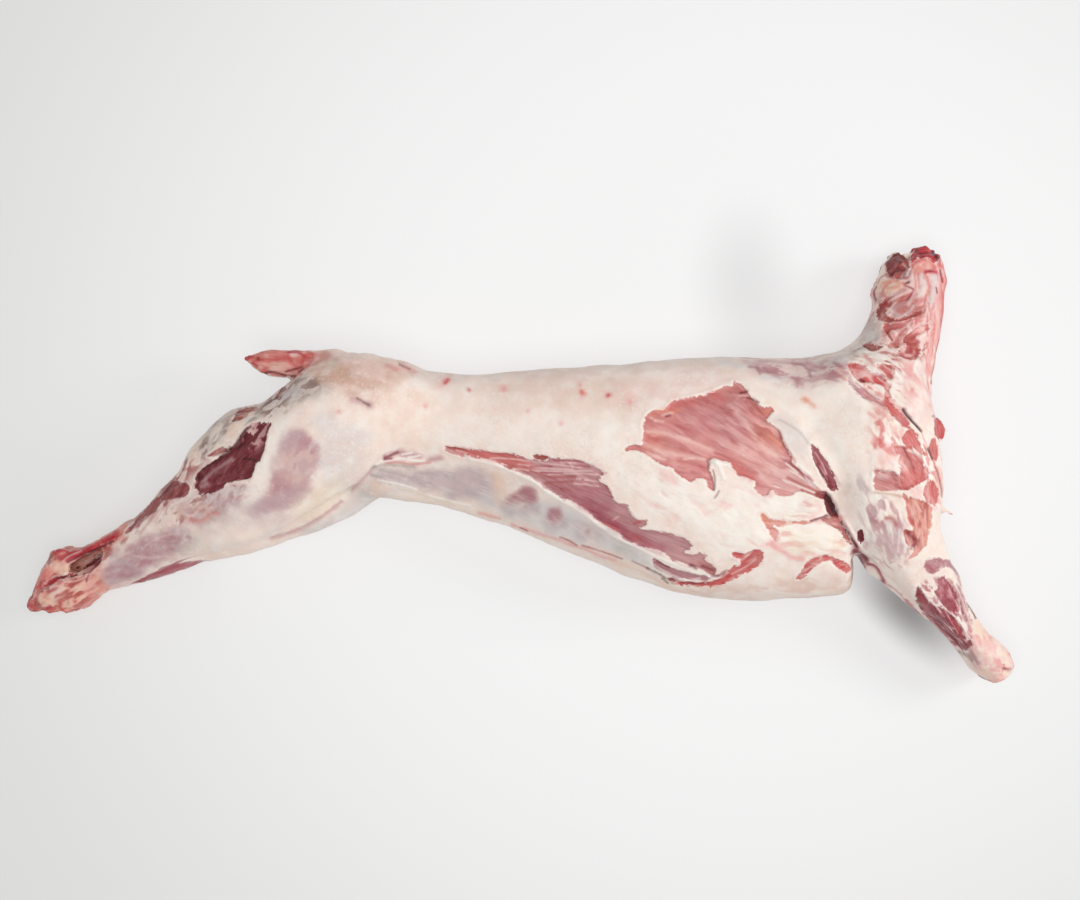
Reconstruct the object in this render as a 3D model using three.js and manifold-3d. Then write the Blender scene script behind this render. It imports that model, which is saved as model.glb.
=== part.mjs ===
// A raw whole goat carcass, skinned and dressed, lying on its left side: trunk, neck stub bent towards
// the back, tail stub, both forelegs cut at the knee and both hind legs cut below the hock. It is one
// piece of meat on the bone.
//
// Frame, in millimetres: +X runs from the hocks towards the neck, +Y from the belly towards the back,
// +Z up. The carcass rests on Z = 0, and the origin is the middle of its footprint.
//
// The flesh is one distance field: lofted forms for the trunk and limbs, blended where muscle flows into
// muscle and creased where one lies on another. The field is cut into tetrahedra for a closed skin, and
// the skin is thinned where it is flat. What is sharp is then cut or joined as solids: the belly cut, the
// tendon gaps and the scraps.

import * as THREE from "three";
import { mergeVertices } from "three/addons/utils/BufferGeometryUtils.js";
import Module from "manifold-3d";

// ---- Driving dimensions -------------------------------------------------------------------------

const HALF_CHEST = 80; // half the width of the rib cage, which lies flat
const SQUASH = 2; // how far the flesh gives where it lies on the floor
const MID = HALF_CHEST - SQUASH; // height of the plane that parts the left side from the right
const BRISKET_END = 368; // where the breastbone is sawn off
const BRISKET_TOP = -100; // how far up that saw cut reaches
const NECK_END = 236; // where the neck is sawn off

// The opened belly, from the groin to the brisket: its two flaps lie together.
const BELLY_CUT = { from: -110, to: 300, width: 7, depth: 26 };

// The gaps between tendon and shank, which a hook goes through: a long one in the upper leg, and what is
// left of the lower leg's at its two ends. Each reaches down to its bottom.
const TENDON_SLOPE = 30; // degrees
const TENDON_GAPS = [
  { at: [-483, -105], length: 58, width: 12, bottom: 38 },
  { at: [-503, -116], length: 15, width: 9, bottom: -10 },
  { at: [-462, -93], length: 13, width: 7, bottom: -10 },
];

const CREASE = 12; // the rounding where one form lies on another
const NECK_FILLET = 40; // the rounding from the withers into the neck

// A limb flows into the trunk towards the back, so its crease widens there: by how much, and from
// which Y to which.
const THIGH_FLOW = { wider: 16, from: 10, to: 75 };
const ARM_FLOW = { wider: 18, from: -40, to: 60 };

const GRID = 6.5; // spacing of the field's samples
const SAMPLED = { low: [-580, -275, -2.5 * GRID], high: [590, 280, 205] }; // the box the field is read in
const SKIN_TRIANGLES = 9600; // what the thinned skin keeps

// A side's limbs: the upper side leads, and the lower side is its mirror image, which the weight pushes
// and spreads where it joins the trunk and leaves alone at its end.
const UPPER = { sign: 1, shift: [0, 0], spread: 0 };
const LOWER_HIND = { sign: -1, shift: [4, -6], spread: 0.31 };
const LOWER_FORE = { sign: -1, shift: [-10, -5], spread: 0.03 };

// ---- Stations of the lofted forms ---------------------------------------------------------------

// A station says where it stands, half its breadth seen from above and half its thickness.

// The trunk's edges at the back and the belly. lean thickens the back's side, and droop lets the belly's
// edge hang.
const TRUNK = [
  { x: -226, back: 124, belly: 20, thick: 50, lean: 0, droop: 0 },
  { x: -196, back: 126, belly: -10, thick: 55, lean: 0.05, droop: 0 },
  { x: -157, back: 121, belly: -30, thick: 56, lean: 0.12, droop: 6 },
  { x: -101, back: 105, belly: -42, thick: 51, lean: 0.22, droop: 18 },
  { x: -45, back: 103, belly: -58, thick: 54, lean: 0.25, droop: 24 },
  { x: 22, back: 109, belly: -81, thick: 63, lean: 0.2, droop: 18 },
  { x: 89, back: 114, belly: -106, thick: 73, lean: 0.12, droop: 10 },
  { x: 156, back: 120, belly: -132, thick: 79, lean: 0.06, droop: 4 },
  { x: 223, back: 121, belly: -149, thick: HALF_CHEST, lean: 0.04, droop: 0 },
  { x: 290, back: 120, belly: -149, thick: 79, lean: 0.02, droop: 0 },
  { x: 357, back: 118, belly: -142, thick: 74, lean: 0, droop: 0 },
  { x: 400, back: 106, belly: -116, thick: 66, lean: 0, droop: 0 },
  { x: 428, back: 90, belly: -88, thick: 56, lean: 0, droop: 0 },
];

const NECK = [
  { at: [402, 60, MID], across: 56, thick: 54 },
  { at: [409, 104, MID - 3], across: 50, thick: 50 },
  { at: [419, 133, MID - 8], across: 49, thick: 46 },
  { at: [429, 154, MID - 14], across: 43, thick: 43 },
  { at: [435, 176, MID - 20], across: 41, thick: 40 },
  { at: [439, 198, MID - 26], across: 39, thick: 37 },
  { at: [445, 217, MID - 31], across: 35, thick: 34 },
  { at: [446, 244, MID - 35], across: 26, thick: 30 },
];

const TAIL = [
  { at: [-205, 107, MID + 4], across: 19, thick: 20 },
  { at: [-240, 113, MID + 6], across: 16, thick: 15 },
  { at: [-266, 114, MID + 6], across: 15, thick: 12 },
  { at: [-286, 116, MID + 6], across: 12, thick: 9 },
  { at: [-299, 121, MID + 6], across: 6, thick: 6 },
];

// A hind leg, hip to hock, as the upper one lies.
const HIND = [
  { at: [-120, 58, 96], across: 42, thick: 32 },
  { at: [-163, 58, 108], across: 56, thick: 42 },
  { at: [-217, 36, 113], across: 65, thick: 46 },
  { at: [-276, 4, 112], across: 66, thick: 44 },
  { at: [-322, -33, 103], across: 64, thick: 38 },
  { at: [-372, -64, 88], across: 49, thick: 30 },
  { at: [-426, -95, 70], across: 37, thick: 23 },
  { at: [-476, -117, 58], across: 30, thick: 19 },
  { at: [-512, -132, 54], across: 33, thick: 18 },
  { at: [-535, -125, 52], across: 33, thick: 16 },
];

// A foreleg, shoulder blade to knee, as the upper one lies.
const FORE = [
  { at: [360, 80, 118], across: 76, thick: 30 },
  { at: [376, 38, 124], across: 77, thick: 39 },
  { at: [397, -15, 124], across: 64, thick: 41 },
  { at: [412, -60, 118], across: 52, thick: 39 },
  { at: [423, -91, 111], across: 46, thick: 35 },
  { at: [441, -121, 101], across: 38, thick: 30 },
  { at: [464, -149, 88], across: 28, thick: 26 },
  { at: [487, -176, 75], across: 25, thick: 22 },
  { at: [509, -198, 65], across: 24, thick: 20 },
  { at: [531, -214, 58], across: 25, thick: 19 },
  { at: [539, -225, 55], across: 21, thick: 17 },
];

// How low a lower limb may lie: it is set on the floor where its mirror image would sink through it.
const LOWEST = -1.5;

// Furrows and ridges that follow the muscles, as seen from above: the line, how deep (a ridge is below
// zero), how wide. Each is on both sides of the animal.
const RELIEF = [
  { name: "armpit fold", line: [[340, -34], [358, -76], [370, -112]], depth: 7, width: 17 },
  { name: "band behind the shoulder", line: [[247, 84], [285, 46], [334, -18]], depth: -5, width: 20 },
  { name: "slit behind the shoulder", line: [[316, 40], [338, 6], [350, -26]], depth: 5, width: 14 },
  { name: "fold above the brisket", line: [[276, -64], [316, -57], [352, -42]], depth: 5, width: 16 },
  { name: "front edge of the breast", line: [[452, 96], [466, 16], [458, -66]], depth: 3, width: 12 },
  { name: "shoulder blade's spine", line: [[350, 92], [378, 50], [392, 0]], depth: -4, width: 20 },
  { name: "back of the thigh", line: [[-352, -20], [-316, 20], [-256, 80]], depth: 5, width: 16 },
  { name: "seam beside the thigh bone", line: [[-388, -72], [-332, -40], [-286, 14]], depth: 4, width: 18 },
  { name: "kneecap", line: [[-336, -86], [-316, -84]], depth: -5, width: 20 },
  { name: "seam below the tendon", line: [[-528, -134], [-496, -124], [-464, -106]], depth: 4, width: 10 },
  { name: "heel bone", line: [[-524, -103], [-516, -101]], depth: -6, width: 13 },
  { name: "elbow", line: [[424, -118], [438, -108]], depth: -5, width: 16 },
  { name: "seam of the forearm", line: [[444, -116], [470, -150], [498, -188]], depth: 3, width: 13 },
  { name: "upper seam of the neck", line: [[402, 182], [428, 176], [452, 190]], depth: 4, width: 14 },
  { name: "lower seam of the neck", line: [[398, 148], [426, 136], [454, 150]], depth: 4, width: 14 },
  { name: "hollow behind the ribs", line: [[-96, 26], [-60, -6], [-20, -30]], depth: 3, width: 40 },
];

// ---- Distance fields ----------------------------------------------------------------------------

const clamp = (v, low, high) => Math.min(high, Math.max(low, v));
const smoothStep = (low, high, v) => {
  const t = clamp((v - low) / (high - low), 0, 1);
  return t * t * (3 - 2 * t);
};

/** The lower of two distances, rounded over a seam of the given width. */
function blend(a, b, width) {
  const near = Math.max(width - Math.abs(a - b), 0) / width;
  return Math.min(a, b) - near * near * width * 0.25;
}

/** A form lofted along a smooth line through its stations; returns its distance field. */
function loft(stations, { square = 2, capLength = 1 } = {}) {
  const STEPS = 5;
  const channels = stations.map((s) => [...s.at, s.across, s.thick, s.lean ?? 0, s.droop ?? 0]);
  const rings = [];
  for (let i = 0; i + 1 < channels.length; i++) {
    const before = channels[Math.max(i - 1, 0)];
    const after = channels[Math.min(i + 2, channels.length - 1)];
    for (let k = 0; k < STEPS; k++) {
      rings.push(channels[i].map((_, c) => {
        const corners = [before[c], channels[i][c], channels[i + 1][c], after[c]];
        return throughPoints(corners, k / STEPS);
      }));
    }
  }
  rings.push(channels.at(-1));
  const last = rings.length - 2;

  return ([x, y, z]) => {
    let best = Infinity;
    let at = 0;
    let share = 0;
    for (let i = 0; i <= last; i++) {
      const [ax, ay] = rings[i];
      const dx = rings[i + 1][0] - ax;
      const dy = rings[i + 1][1] - ay;
      const t = clamp(((x - ax) * dx + (y - ay) * dy) / (dx * dx + dy * dy), 0, 1);
      const gap = (ax + t * dx - x) ** 2 + (ay + t * dy - y) ** 2;
      if (gap < best) {
        best = gap;
        at = i;
        share = t;
      }
    }
    const a = rings[at];
    const b = rings[at + 1];
    const [cx, cy, cz, across, thick, lean, droop] = a.map((v, c) => v + share * (b[c] - v));
    const step = Math.hypot(b[0] - a[0], b[1] - a[1]);
    const [ux, uy] = [(b[0] - a[0]) / step, (b[1] - a[1]) / step];
    const side = -(x - cx) * uy + (y - cy) * ux;
    const past = (x - cx) * ux + (y - cy) * uy;
    const s = clamp(side / across, -1.2, 1.2);
    const thickHere = thick * (1 + lean * s);
    const rise = z - cz + droop * smoothStep(0.1, -1, s);
    const cap = Math.min(across, thick) * capLength;
    const sideways = (Math.abs(side) / across) ** square;
    const upwards = (Math.abs(rise) / thickHere) ** square;
    const ring = (sideways + upwards) ** (1 / square);
    const reach = Math.hypot(ring, past / cap);
    const length = Math.hypot(side, rise, past);
    return reach < 0.2 ? -0.8 * Math.min(across, thickHere) : length - length / reach;
  };
}

/** A curve through four values in a row, between the two in the middle (Catmull-Rom). */
function throughPoints([p, a, b, q], t) {
  return a + 0.5 * t * (b - p + t * (2 * p - 5 * a + 4 * b - q + t * (3 * (a - b) + q - p)));
}

/** The distance in plan from a point to a line through the given points. */
function planDistance(x, y, line) {
  let best = Infinity;
  for (let i = 0; i + 1 < line.length; i++) {
    const [ax, ay] = line[i];
    const [dx, dy] = [line[i + 1][0] - ax, line[i + 1][1] - ay];
    const t = clamp(((x - ax) * dx + (y - ay) * dy) / (dx * dx + dy * dy), 0, 1);
    best = Math.min(best, Math.hypot(ax + t * dx - x, ay + t * dy - y));
  }
  return best;
}

/** A limb's stations for one side: as they stand, or mirrored in the middle plane and set down. */
function limbOnSide(stations, { sign, shift, spread }) {
  return stations.map(({ at: [x, y, z], across, thick }, i) => {
    const pressed = 1 - i / (stations.length - 1);
    const height = MID + sign * (z - MID);
    const setDown = sign < 0 ? Math.max(Math.min(height, z - 2 * thick + 4), thick + LOWEST) : height;
    return {
      at: [x + pressed * shift[0], y + pressed * shift[1], setDown],
      across: across * (1 + pressed * spread),
      thick,
    };
  });
}

/** The trunk's stations in the loft's own terms. */
function trunkStations() {
  return TRUNK.map(({ x, back, belly, thick, lean, droop }) => ({
    at: [x, (back + belly) / 2, MID],
    across: (back - belly) / 2,
    thick,
    lean,
    droop,
  }));
}

/** The whole carcass as one distance field. */
function carcassField() {
  const trunk = loft(trunkStations(), { square: 2.2, capLength: 0.6 });
  const neck = loft(NECK);
  const tail = loft(TAIL);
  const hindLegs = [UPPER, LOWER_HIND].map((side) => loft(limbOnSide(HIND, side), { capLength: 0.4 }));
  const forelegs = [UPPER, LOWER_FORE].map((side) => loft(limbOnSide(FORE, side), { square: 2.2 }));

  return (point) => {
    const [x, y, z] = point;
    const sawnBrisket = Math.max(BRISKET_END - x, y - BRISKET_TOP);
    let body = Math.max(trunk(point), -sawnBrisket);
    const seam = ({ wider, from, to }) => CREASE + wider * smoothStep(from, to, y);
    const thighs = blend(hindLegs[0](point), hindLegs[1](point), CREASE);
    body = blend(body, thighs, seam(THIGH_FLOW));
    body = blend(body, Math.max(neck(point), y - NECK_END), NECK_FILLET);
    for (const foreleg of forelegs) body = blend(body, foreleg(point), seam(ARM_FLOW));
    body = blend(body, tail(point), CREASE / 2);
    for (const { line, depth, width } of RELIEF) {
      const away = planDistance(x, y, line) / width;
      if (away < 3) body += depth * Math.exp(-away * away) * smoothStep(6, 30, Math.abs(z - MID));
    }
    return body;
  };
}

// ---- From the field to a closed skin ------------------------------------------------------------

/** The field's zero level inside a box, as { points, faces }: each grid cell is cut into six tetrahedra. */
function skinOf(field, { low, high }) {
  const count = low.map((v, axis) => Math.ceil((high[axis] - v) / GRID) + 1);
  const stride = [1, count[0], count[0] * count[1]];
  const place = (id) => [id % count[0], Math.floor(id / stride[1]) % count[1], Math.floor(id / stride[2])]
    .map((step, axis) => low[axis] + step * GRID);
  const values = new Float64Array(count[0] * count[1] * count[2]);
  for (let id = 0; id < values.length; id++) values[id] = field(place(id)) || 1e-9;

  const points = [];
  const faces = [];
  const crossings = new Map();
  const crossing = (a, b) => {
    const key = Math.min(a, b) * values.length + Math.max(a, b);
    if (!crossings.has(key)) {
      const share = clamp(values[a] / (values[a] - values[b]), 0.02, 0.98);
      const [from, to] = [place(a), place(b)];
      crossings.set(key, points.push(from.map((v, axis) => v + share * (to[axis] - v))) - 1);
    }
    return crossings.get(key);
  };
  // Six paths of three steps from a cell's lowest corner to its highest, and each path's handedness.
  const paths = [[0, 1, 2, 1], [1, 2, 0, 1], [2, 0, 1, 1], [0, 2, 1, -1], [2, 1, 0, -1], [1, 0, 2, -1]];
  for (let k = 0; k + 1 < count[2]; k++) {
    for (let j = 0; j + 1 < count[1]; j++) {
      for (let i = 0; i + 1 < count[0]; i++) {
        const corner = i + j * stride[1] + k * stride[2];
        for (const [first, second, third, hand] of paths) {
          const tetrahedron = [corner];
          for (const axis of [first, second, third]) tetrahedron.push(tetrahedron.at(-1) + stride[axis]);
          if (hand < 0) [tetrahedron[1], tetrahedron[2]] = [tetrahedron[2], tetrahedron[1]];
          sliceTetrahedron(tetrahedron, values, crossing, faces);
        }
      }
    }
  }
  return { points, faces };
}

/** Adds the one or two triangles in which the zero level cuts a tetrahedron, facing out of the flesh. */
function sliceTetrahedron(corners, values, crossing, faces) {
  const order = [0, 1, 2, 3];
  const inside = order.filter((c) => values[corners[c]] < 0);
  if (inside.length === 0 || inside.length === 4) return;
  const outside = order.filter((c) => values[corners[c]] > 0);
  const lone = inside.length === 3 ? outside : inside;
  const rest = inside.length === 3 ? inside : outside;
  const cut = (a, b) => crossing(corners[a], corners[b]);
  const swapsAfter = (v, i, list) => list.slice(i + 1).filter((w) => w < v).length;
  const swaps = [...lone, ...rest].map(swapsAfter).reduce((sum, n) => sum + n);
  const turned = (swaps % 2 === 1) !== (inside.length === 3);
  const add = (a, b, c) => faces.push(turned ? [a, c, b] : [a, b, c]);
  if (lone.length === 1) {
    add(cut(lone[0], rest[0]), cut(lone[0], rest[1]), cut(lone[0], rest[2]));
    return;
  }
  const ring = [[0, 0], [0, 1], [1, 1], [1, 0]].map(([a, b]) => cut(lone[a], rest[b]));
  add(ring[0], ring[1], ring[2]);
  add(ring[0], ring[2], ring[3]);
}

/** Thins a closed skin to the given number of triangles, taking the flattest edges first (quadric error). */
function thinned({ points, faces }, target) {
  const QUADRIC = 10;
  const SHORT_EDGES_FIRST = 2e-3; // keeps the triangles even where the skin is flat
  const quadrics = new Float64Array(points.length * QUADRIC);
  const facesAt = points.map(() => new Set());
  const version = new Uint32Array(points.length);
  const corner = new THREE.Vector3();
  const normalOf = (a, b, c) => {
    const side = new THREE.Vector3().subVectors(vector(b), vector(a));
    return side.cross(corner.subVectors(vector(c), vector(a)));
  };
  const vector = (p) => new THREE.Vector3(p[0], p[1], p[2]);

  faces.forEach((face, id) => {
    const normal = normalOf(...face.map((v) => points[v]));
    const area = normal.length() / 2;
    normal.normalize();
    const plane = [normal.x, normal.y, normal.z, -normal.dot(vector(points[face[0]]))];
    for (const v of face) {
      facesAt[v].add(id);
      let slot = v * QUADRIC;
      for (let i = 0; i < 4; i++) for (let j = i; j < 4; j++) quadrics[slot++] += area * plane[i] * plane[j];
    }
  });

  const errorAt = (q, [x, y, z]) => q[0] * x * x + 2 * q[1] * x * y + 2 * q[2] * x * z + 2 * q[3] * x
    + q[4] * y * y + 2 * q[5] * y * z + 2 * q[6] * y + q[7] * z * z + 2 * q[8] * z + q[9];
  const entry = (v, i) => quadrics[v * QUADRIC + i];
  const sumOf = (a, b) => Array.from({ length: QUADRIC }, (_, i) => entry(a, i) + entry(b, i));
  const bestPlace = (q, a, b) => {
    const system = new THREE.Matrix3(q[0], q[1], q[2], q[1], q[4], q[5], q[2], q[5], q[7]);
    const half = points[a].map((v, i) => (v + points[b][i]) / 2);
    const spots = [half, points[a], points[b]];
    const size = system.elements[0] + system.elements[4] + system.elements[8];
    if (Math.abs(system.determinant()) > 1e-4 * size ** 3) {
      const solved = new THREE.Vector3(-q[3], -q[6], -q[8]).applyMatrix3(system.invert());
      const near = Math.hypot(...half.map((v, i) => v - solved.getComponent(i))) < 2 * GRID;
      if (near) spots.unshift(solved.toArray());
    }
    return spots.reduce((best, spot) => (errorAt(q, spot) < errorAt(q, best) ? spot : best));
  };

  const queue = new LowestFirst();
  const consider = (a, b) => {
    const q = sumOf(a, b);
    const spot = bestPlace(q, a, b);
    const length = points[a].reduce((sum, v, i) => sum + (v - points[b][i]) ** 2, 0);
    const cost = Math.max(errorAt(q, spot), 0) + SHORT_EDGES_FIRST * length * length;
    queue.push({ cost, a, b, spot, stamp: [version[a], version[b]] });
  };
  const neighbours = (v) => new Set([...facesAt[v]].flatMap((id) => faces[id]).filter((w) => w !== v));
  points.forEach((_, v) => neighbours(v).forEach((w) => w > v && consider(v, w)));

  const flips = (v, other, spot) => [...facesAt[v]].some((id) => {
    if (faces[id].includes(other)) return false;
    const before = normalOf(...faces[id].map((w) => points[w]));
    const after = normalOf(...faces[id].map((w) => (w === v ? spot : points[w])));
    return before.dot(after) < 0.3 * before.length() * after.length() || after.length() < 0.5;
  });

  let left = faces.length;
  while (left > target && queue.size) {
    const { a, b, spot, stamp } = queue.pop();
    if (stamp[0] !== version[a] || stamp[1] !== version[b] || !facesAt[a].size || !facesAt[b].size) continue;
    const around = neighbours(a);
    const shared = [...neighbours(b)].filter((v) => around.has(v));
    if (shared.length !== 2 || flips(a, b, spot) || flips(b, a, spot)) continue;
    sumOf(a, b).forEach((v, i) => { quadrics[a * QUADRIC + i] = v; });
    points[a] = spot;
    for (const id of facesAt[b]) {
      if (faces[id].includes(a)) {
        faces[id].forEach((v) => facesAt[v].delete(id));
        faces[id] = null;
        left--;
      } else {
        faces[id] = faces[id].map((v) => (v === b ? a : v));
        facesAt[a].add(id);
      }
    }
    facesAt[b].clear();
    version[a]++;
    version[b]++;
    neighbours(a).forEach((v) => consider(a, v));
  }
  return { points, faces: faces.filter(Boolean) };
}

/** A queue that gives the entry with the lowest cost first. */
class LowestFirst {
  heap = [];

  get size() {
    return this.heap.length;
  }

  push(entry) {
    let i = this.heap.push(entry) - 1;
    while (i > 0) {
      const parent = (i - 1) >> 1;
      if (this.heap[parent].cost <= entry.cost) break;
      this.heap[i] = this.heap[parent];
      i = parent;
    }
    this.heap[i] = entry;
  }

  pop() {
    const top = this.heap[0];
    const entry = this.heap.pop();
    if (!this.heap.length) return top;
    let i = 0;
    for (;;) {
      let child = 2 * i + 1;
      if (child >= this.heap.length) break;
      if (child + 1 < this.heap.length && this.heap[child + 1].cost < this.heap[child].cost) child++;
      if (this.heap[child].cost >= entry.cost) break;
      this.heap[i] = this.heap[child];
      i = child;
    }
    this.heap[i] = entry;
    return top;
  }
}

// ---- Sharp cuts and scraps, as solids -----------------------------------------------------------

/** A solid of the library that joins and cuts, from a three.js geometry. */
function solid(wasm, geometry) {
  const bare = geometry.index ? geometry.clone() : mergeVertices(geometry);
  bare.deleteAttribute("normal");
  bare.deleteAttribute("uv");
  const merged = mergeVertices(bare, 1e-4);
  return new wasm.Manifold(new wasm.Mesh({
    numProp: 3,
    vertProperties: new Float32Array(merged.attributes.position.array),
    triVerts: new Uint32Array(merged.index.array),
  }));
}

/** A skin as a three.js geometry. */
function geometryOf({ points, faces }) {
  return new THREE.BufferGeometry()
    .setAttribute("position", new THREE.Float32BufferAttribute(points.flat(), 3))
    .setIndex(faces.flat());
}

/** The blade that opens the belly: a thin slab along the belly's edge. */
function bellyCut() {
  const { from, to, width, depth } = BELLY_CUT;
  const edge = TRUNK.filter(({ x }) => x > from && x < to);
  const inner = edge.map(({ x, belly }, i) => {
    const atAnEnd = i === 0 || i === edge.length - 1;
    return new THREE.Vector2(x, belly + (atAnEnd ? 0.15 : 1) * depth);
  });
  const outer = edge.map(({ x, belly }) => new THREE.Vector2(x, belly - depth)).reverse();
  const outline = new THREE.Shape(new THREE.SplineCurve(inner).getPoints(24).concat(outer));
  const slab = new THREE.ExtrudeGeometry(outline, { depth: width, bevelEnabled: false });
  const drop = new THREE.SplineCurve(edge.map(({ x, droop }) => new THREE.Vector2(x, droop))).getPoints(60);
  const place = slab.attributes.position;
  for (let i = 0; i < place.count; i++) {
    const x = place.getX(i);
    const near = drop.reduce((best, p) => (Math.abs(p.x - x) < Math.abs(best.x - x) ? p : best));
    place.setZ(i, place.getZ(i) - width / 2 + MID - near.y);
  }
  return slab;
}

/** The plug that leaves one of the gaps between tendon and shank. */
function tendonGap({ at, length, width, bottom }) {
  const height = 2 * MID;
  return new THREE.CylinderGeometry(1, 1, height, 16)
    .rotateX(Math.PI / 2)
    .scale(length / 2, width / 2, 1)
    .rotateZ(THREE.MathUtils.degToRad(TENDON_SLOPE))
    .translate(...at, bottom + height / 2);
}

// Scraps of meat that stand out of the cut ends and the breast: place, half lengths, turn in plan.
const SCRAPS = [
  { at: [453, 238, 44], size: [13, 10, 12], turn: 20 },
  { at: [426, 233, 40], size: [8, 9, 11], turn: -30 },
  { at: [438, 236, 54], size: [10, 7, 8], turn: 0 },
  { at: [465, 40, 84], size: [8, 13, 9], turn: 8 },
  { at: [472, -51, 80], size: [12, 4, 4], turn: -12 },
  { at: [534, -226, 50], size: [15, 10, 12], turn: -20 },
  { at: [549, -213, 52], size: [11, 9, 11], turn: 60 },
  { at: [-545, -152, 44], size: [11, 10, 12], turn: 35 },
  { at: [-505, -156, 22], size: [12, 8, 11], turn: 20 },
  { at: [-300, 120, MID + 6], size: [7, 5, 5], turn: -30 },
];

/** One scrap, a rounded lump. */
function scrap({ at, size, turn }) {
  return new THREE.SphereGeometry(1, 12, 8)
    .scale(...size)
    .rotateZ(THREE.MathUtils.degToRad(turn))
    .translate(...at);
}

// ---- The carcass --------------------------------------------------------------------------------

const wasm = await Module();
wasm.setup();

const skin = skinOf(carcassField(), SAMPLED);
let carcass = solid(wasm, geometryOf(thinned(skin, SKIN_TRIANGLES)));
carcass = carcass.subtract(solid(wasm, bellyCut()));
for (const gap of TENDON_GAPS) carcass = carcass.subtract(solid(wasm, tendonGap(gap)));
for (const lump of SCRAPS) carcass = carcass.add(solid(wasm, scrap(lump)));
const floor = new THREE.BoxGeometry(1400, 800, 100).translate(0, 0, -50);
carcass = carcass.subtract(solid(wasm, floor));

const { vertProperties, triVerts } = carcass.getMesh();
const geometry = new THREE.BufferGeometry()
  .setAttribute("position", new THREE.BufferAttribute(vertProperties, 3))
  .setIndex(new THREE.BufferAttribute(triVerts, 1));
geometry.computeBoundingBox();
const middle = geometry.boundingBox.getCenter(new THREE.Vector3());
geometry.translate(-middle.x, -middle.y, 0);
geometry.computeVertexNormals();

const rawMeat = new THREE.MeshStandardMaterial({ color: 0xe2cdc2, roughness: 0.45, metalness: 0 });
const meat = new THREE.Mesh(geometry, rawMeat);
meat.name = "carcass";

const goat = new THREE.Group();
goat.add(meat);

export default goat;
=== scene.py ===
"""The looks of a raw whole goat carcass that lies on its side on a pale floor, seen from straight above.

The solid's form is made fine, pushed to its outline, painted with patches of bare flesh, tints, marblings and
strokes, and raised where they are. Lengths are in millimetres and heights start at the floor. Places on the
skin are given where the overhead camera sees them, in pixels of its picture, x to the right and y down.
"""

import logging
from dataclasses import dataclass
from enum import Enum

import bmesh
import bpy
import numpy as np
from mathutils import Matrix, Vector


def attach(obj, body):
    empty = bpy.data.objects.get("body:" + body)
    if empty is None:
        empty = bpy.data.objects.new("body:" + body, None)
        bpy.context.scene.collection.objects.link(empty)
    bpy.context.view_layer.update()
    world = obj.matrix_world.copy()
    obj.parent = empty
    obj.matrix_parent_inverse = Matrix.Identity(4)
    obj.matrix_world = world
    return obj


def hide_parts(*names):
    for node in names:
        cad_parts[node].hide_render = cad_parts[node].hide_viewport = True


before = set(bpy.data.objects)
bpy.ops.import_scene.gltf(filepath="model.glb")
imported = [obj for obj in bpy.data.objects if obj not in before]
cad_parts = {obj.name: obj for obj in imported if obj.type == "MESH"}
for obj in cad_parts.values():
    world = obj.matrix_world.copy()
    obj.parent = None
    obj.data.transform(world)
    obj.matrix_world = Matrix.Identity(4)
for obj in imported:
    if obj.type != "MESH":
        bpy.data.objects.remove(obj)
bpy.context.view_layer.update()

MM = 0.001
SEED = 7
TINY = 1e-6
# the height about which the side that can't be seen mirrors the one that shows
MID_HEIGHT = 78.0
# how far outside a patch its depth still counts, and how far a push reaches, in pixels
REACH = 14.0
PUSH_REACH = 15.0
# strokes narrower than this in pixels, and streaks twice as wide in millimetres, get the finest mesh
FINE_WIDTH = 2.0

Place = tuple[float, float]
Places = tuple[Place, ...]
Spot = tuple[float, float, float]
Colour = tuple[float, float, float, float]
Socket = bpy.types.NodeSocket
Value = Socket | float
log = logging.getLogger("carcass")


class Tone(Enum):
    """A named colour of the carcass, as red, green and blue from 0 to 255."""

    FAT = (241, 224, 213)
    WHITE = (247, 241, 234)
    IVORY = (242, 233, 223)
    CREAM = (236, 222, 198)
    PEACH = (232, 198, 176)
    BLUSH = (220, 186, 173)
    SHELL = (236, 203, 196)
    MIST = (214, 208, 207)
    GREY = (190, 181, 174)
    STONE = (150, 140, 130)
    LILAC = (194, 175, 177)
    HAZE = (190, 156, 160)
    VIOLET = (164, 114, 120)
    MAUVE = (180, 124, 130)
    PLUM = (194, 138, 140)
    RASPBERRY = (166, 76, 90)
    ROSE = (207, 127, 123)
    PINK = (228, 160, 156)
    CORAL = (205, 97, 93)
    SALMON = (222, 145, 128)
    ORANGE = (228, 138, 102)
    RED = (198, 70, 70)
    CRIMSON = (176, 32, 48)
    BRICK = (166, 74, 68)
    RUST = (156, 74, 64)
    WINE = (146, 60, 72)
    MAROON = (110, 28, 38)
    # a near-black red, painted as the shade deep in creases, slits and small hollows
    INK = (58, 16, 22)
    BROWN = (148, 62, 62)
    UMBER = (104, 72, 66)
    TAN = (200, 160, 136)
    FILM = (230, 194, 188)
    PALE_FIBRE = (240, 204, 194)

    def seen(self) -> np.ndarray:
        """The colour as it is seen, from 0 to 1."""
        return np.array(self.value, float) / 255


class Layer(Enum):
    """What a tint or marbling lies on: the fat, the bare flesh, both, or thin skin over the fat."""

    FAT = "fat"
    FLESH = "flesh"
    BOTH = "both"
    SKIN = "skin"


class Stretch(Enum):
    """A stretch of the carcass that is one mesh, from one place along it to another."""

    HIND = (-1000.0, -103.0)
    TRUNK = (-103.0, 380.0)
    FORE = (380.0, 1000.0)


@dataclass(frozen=True)
class Push:
    """A small shift of the form at a place near its outline, both in pixels."""

    place: Place
    shift: Place


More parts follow.
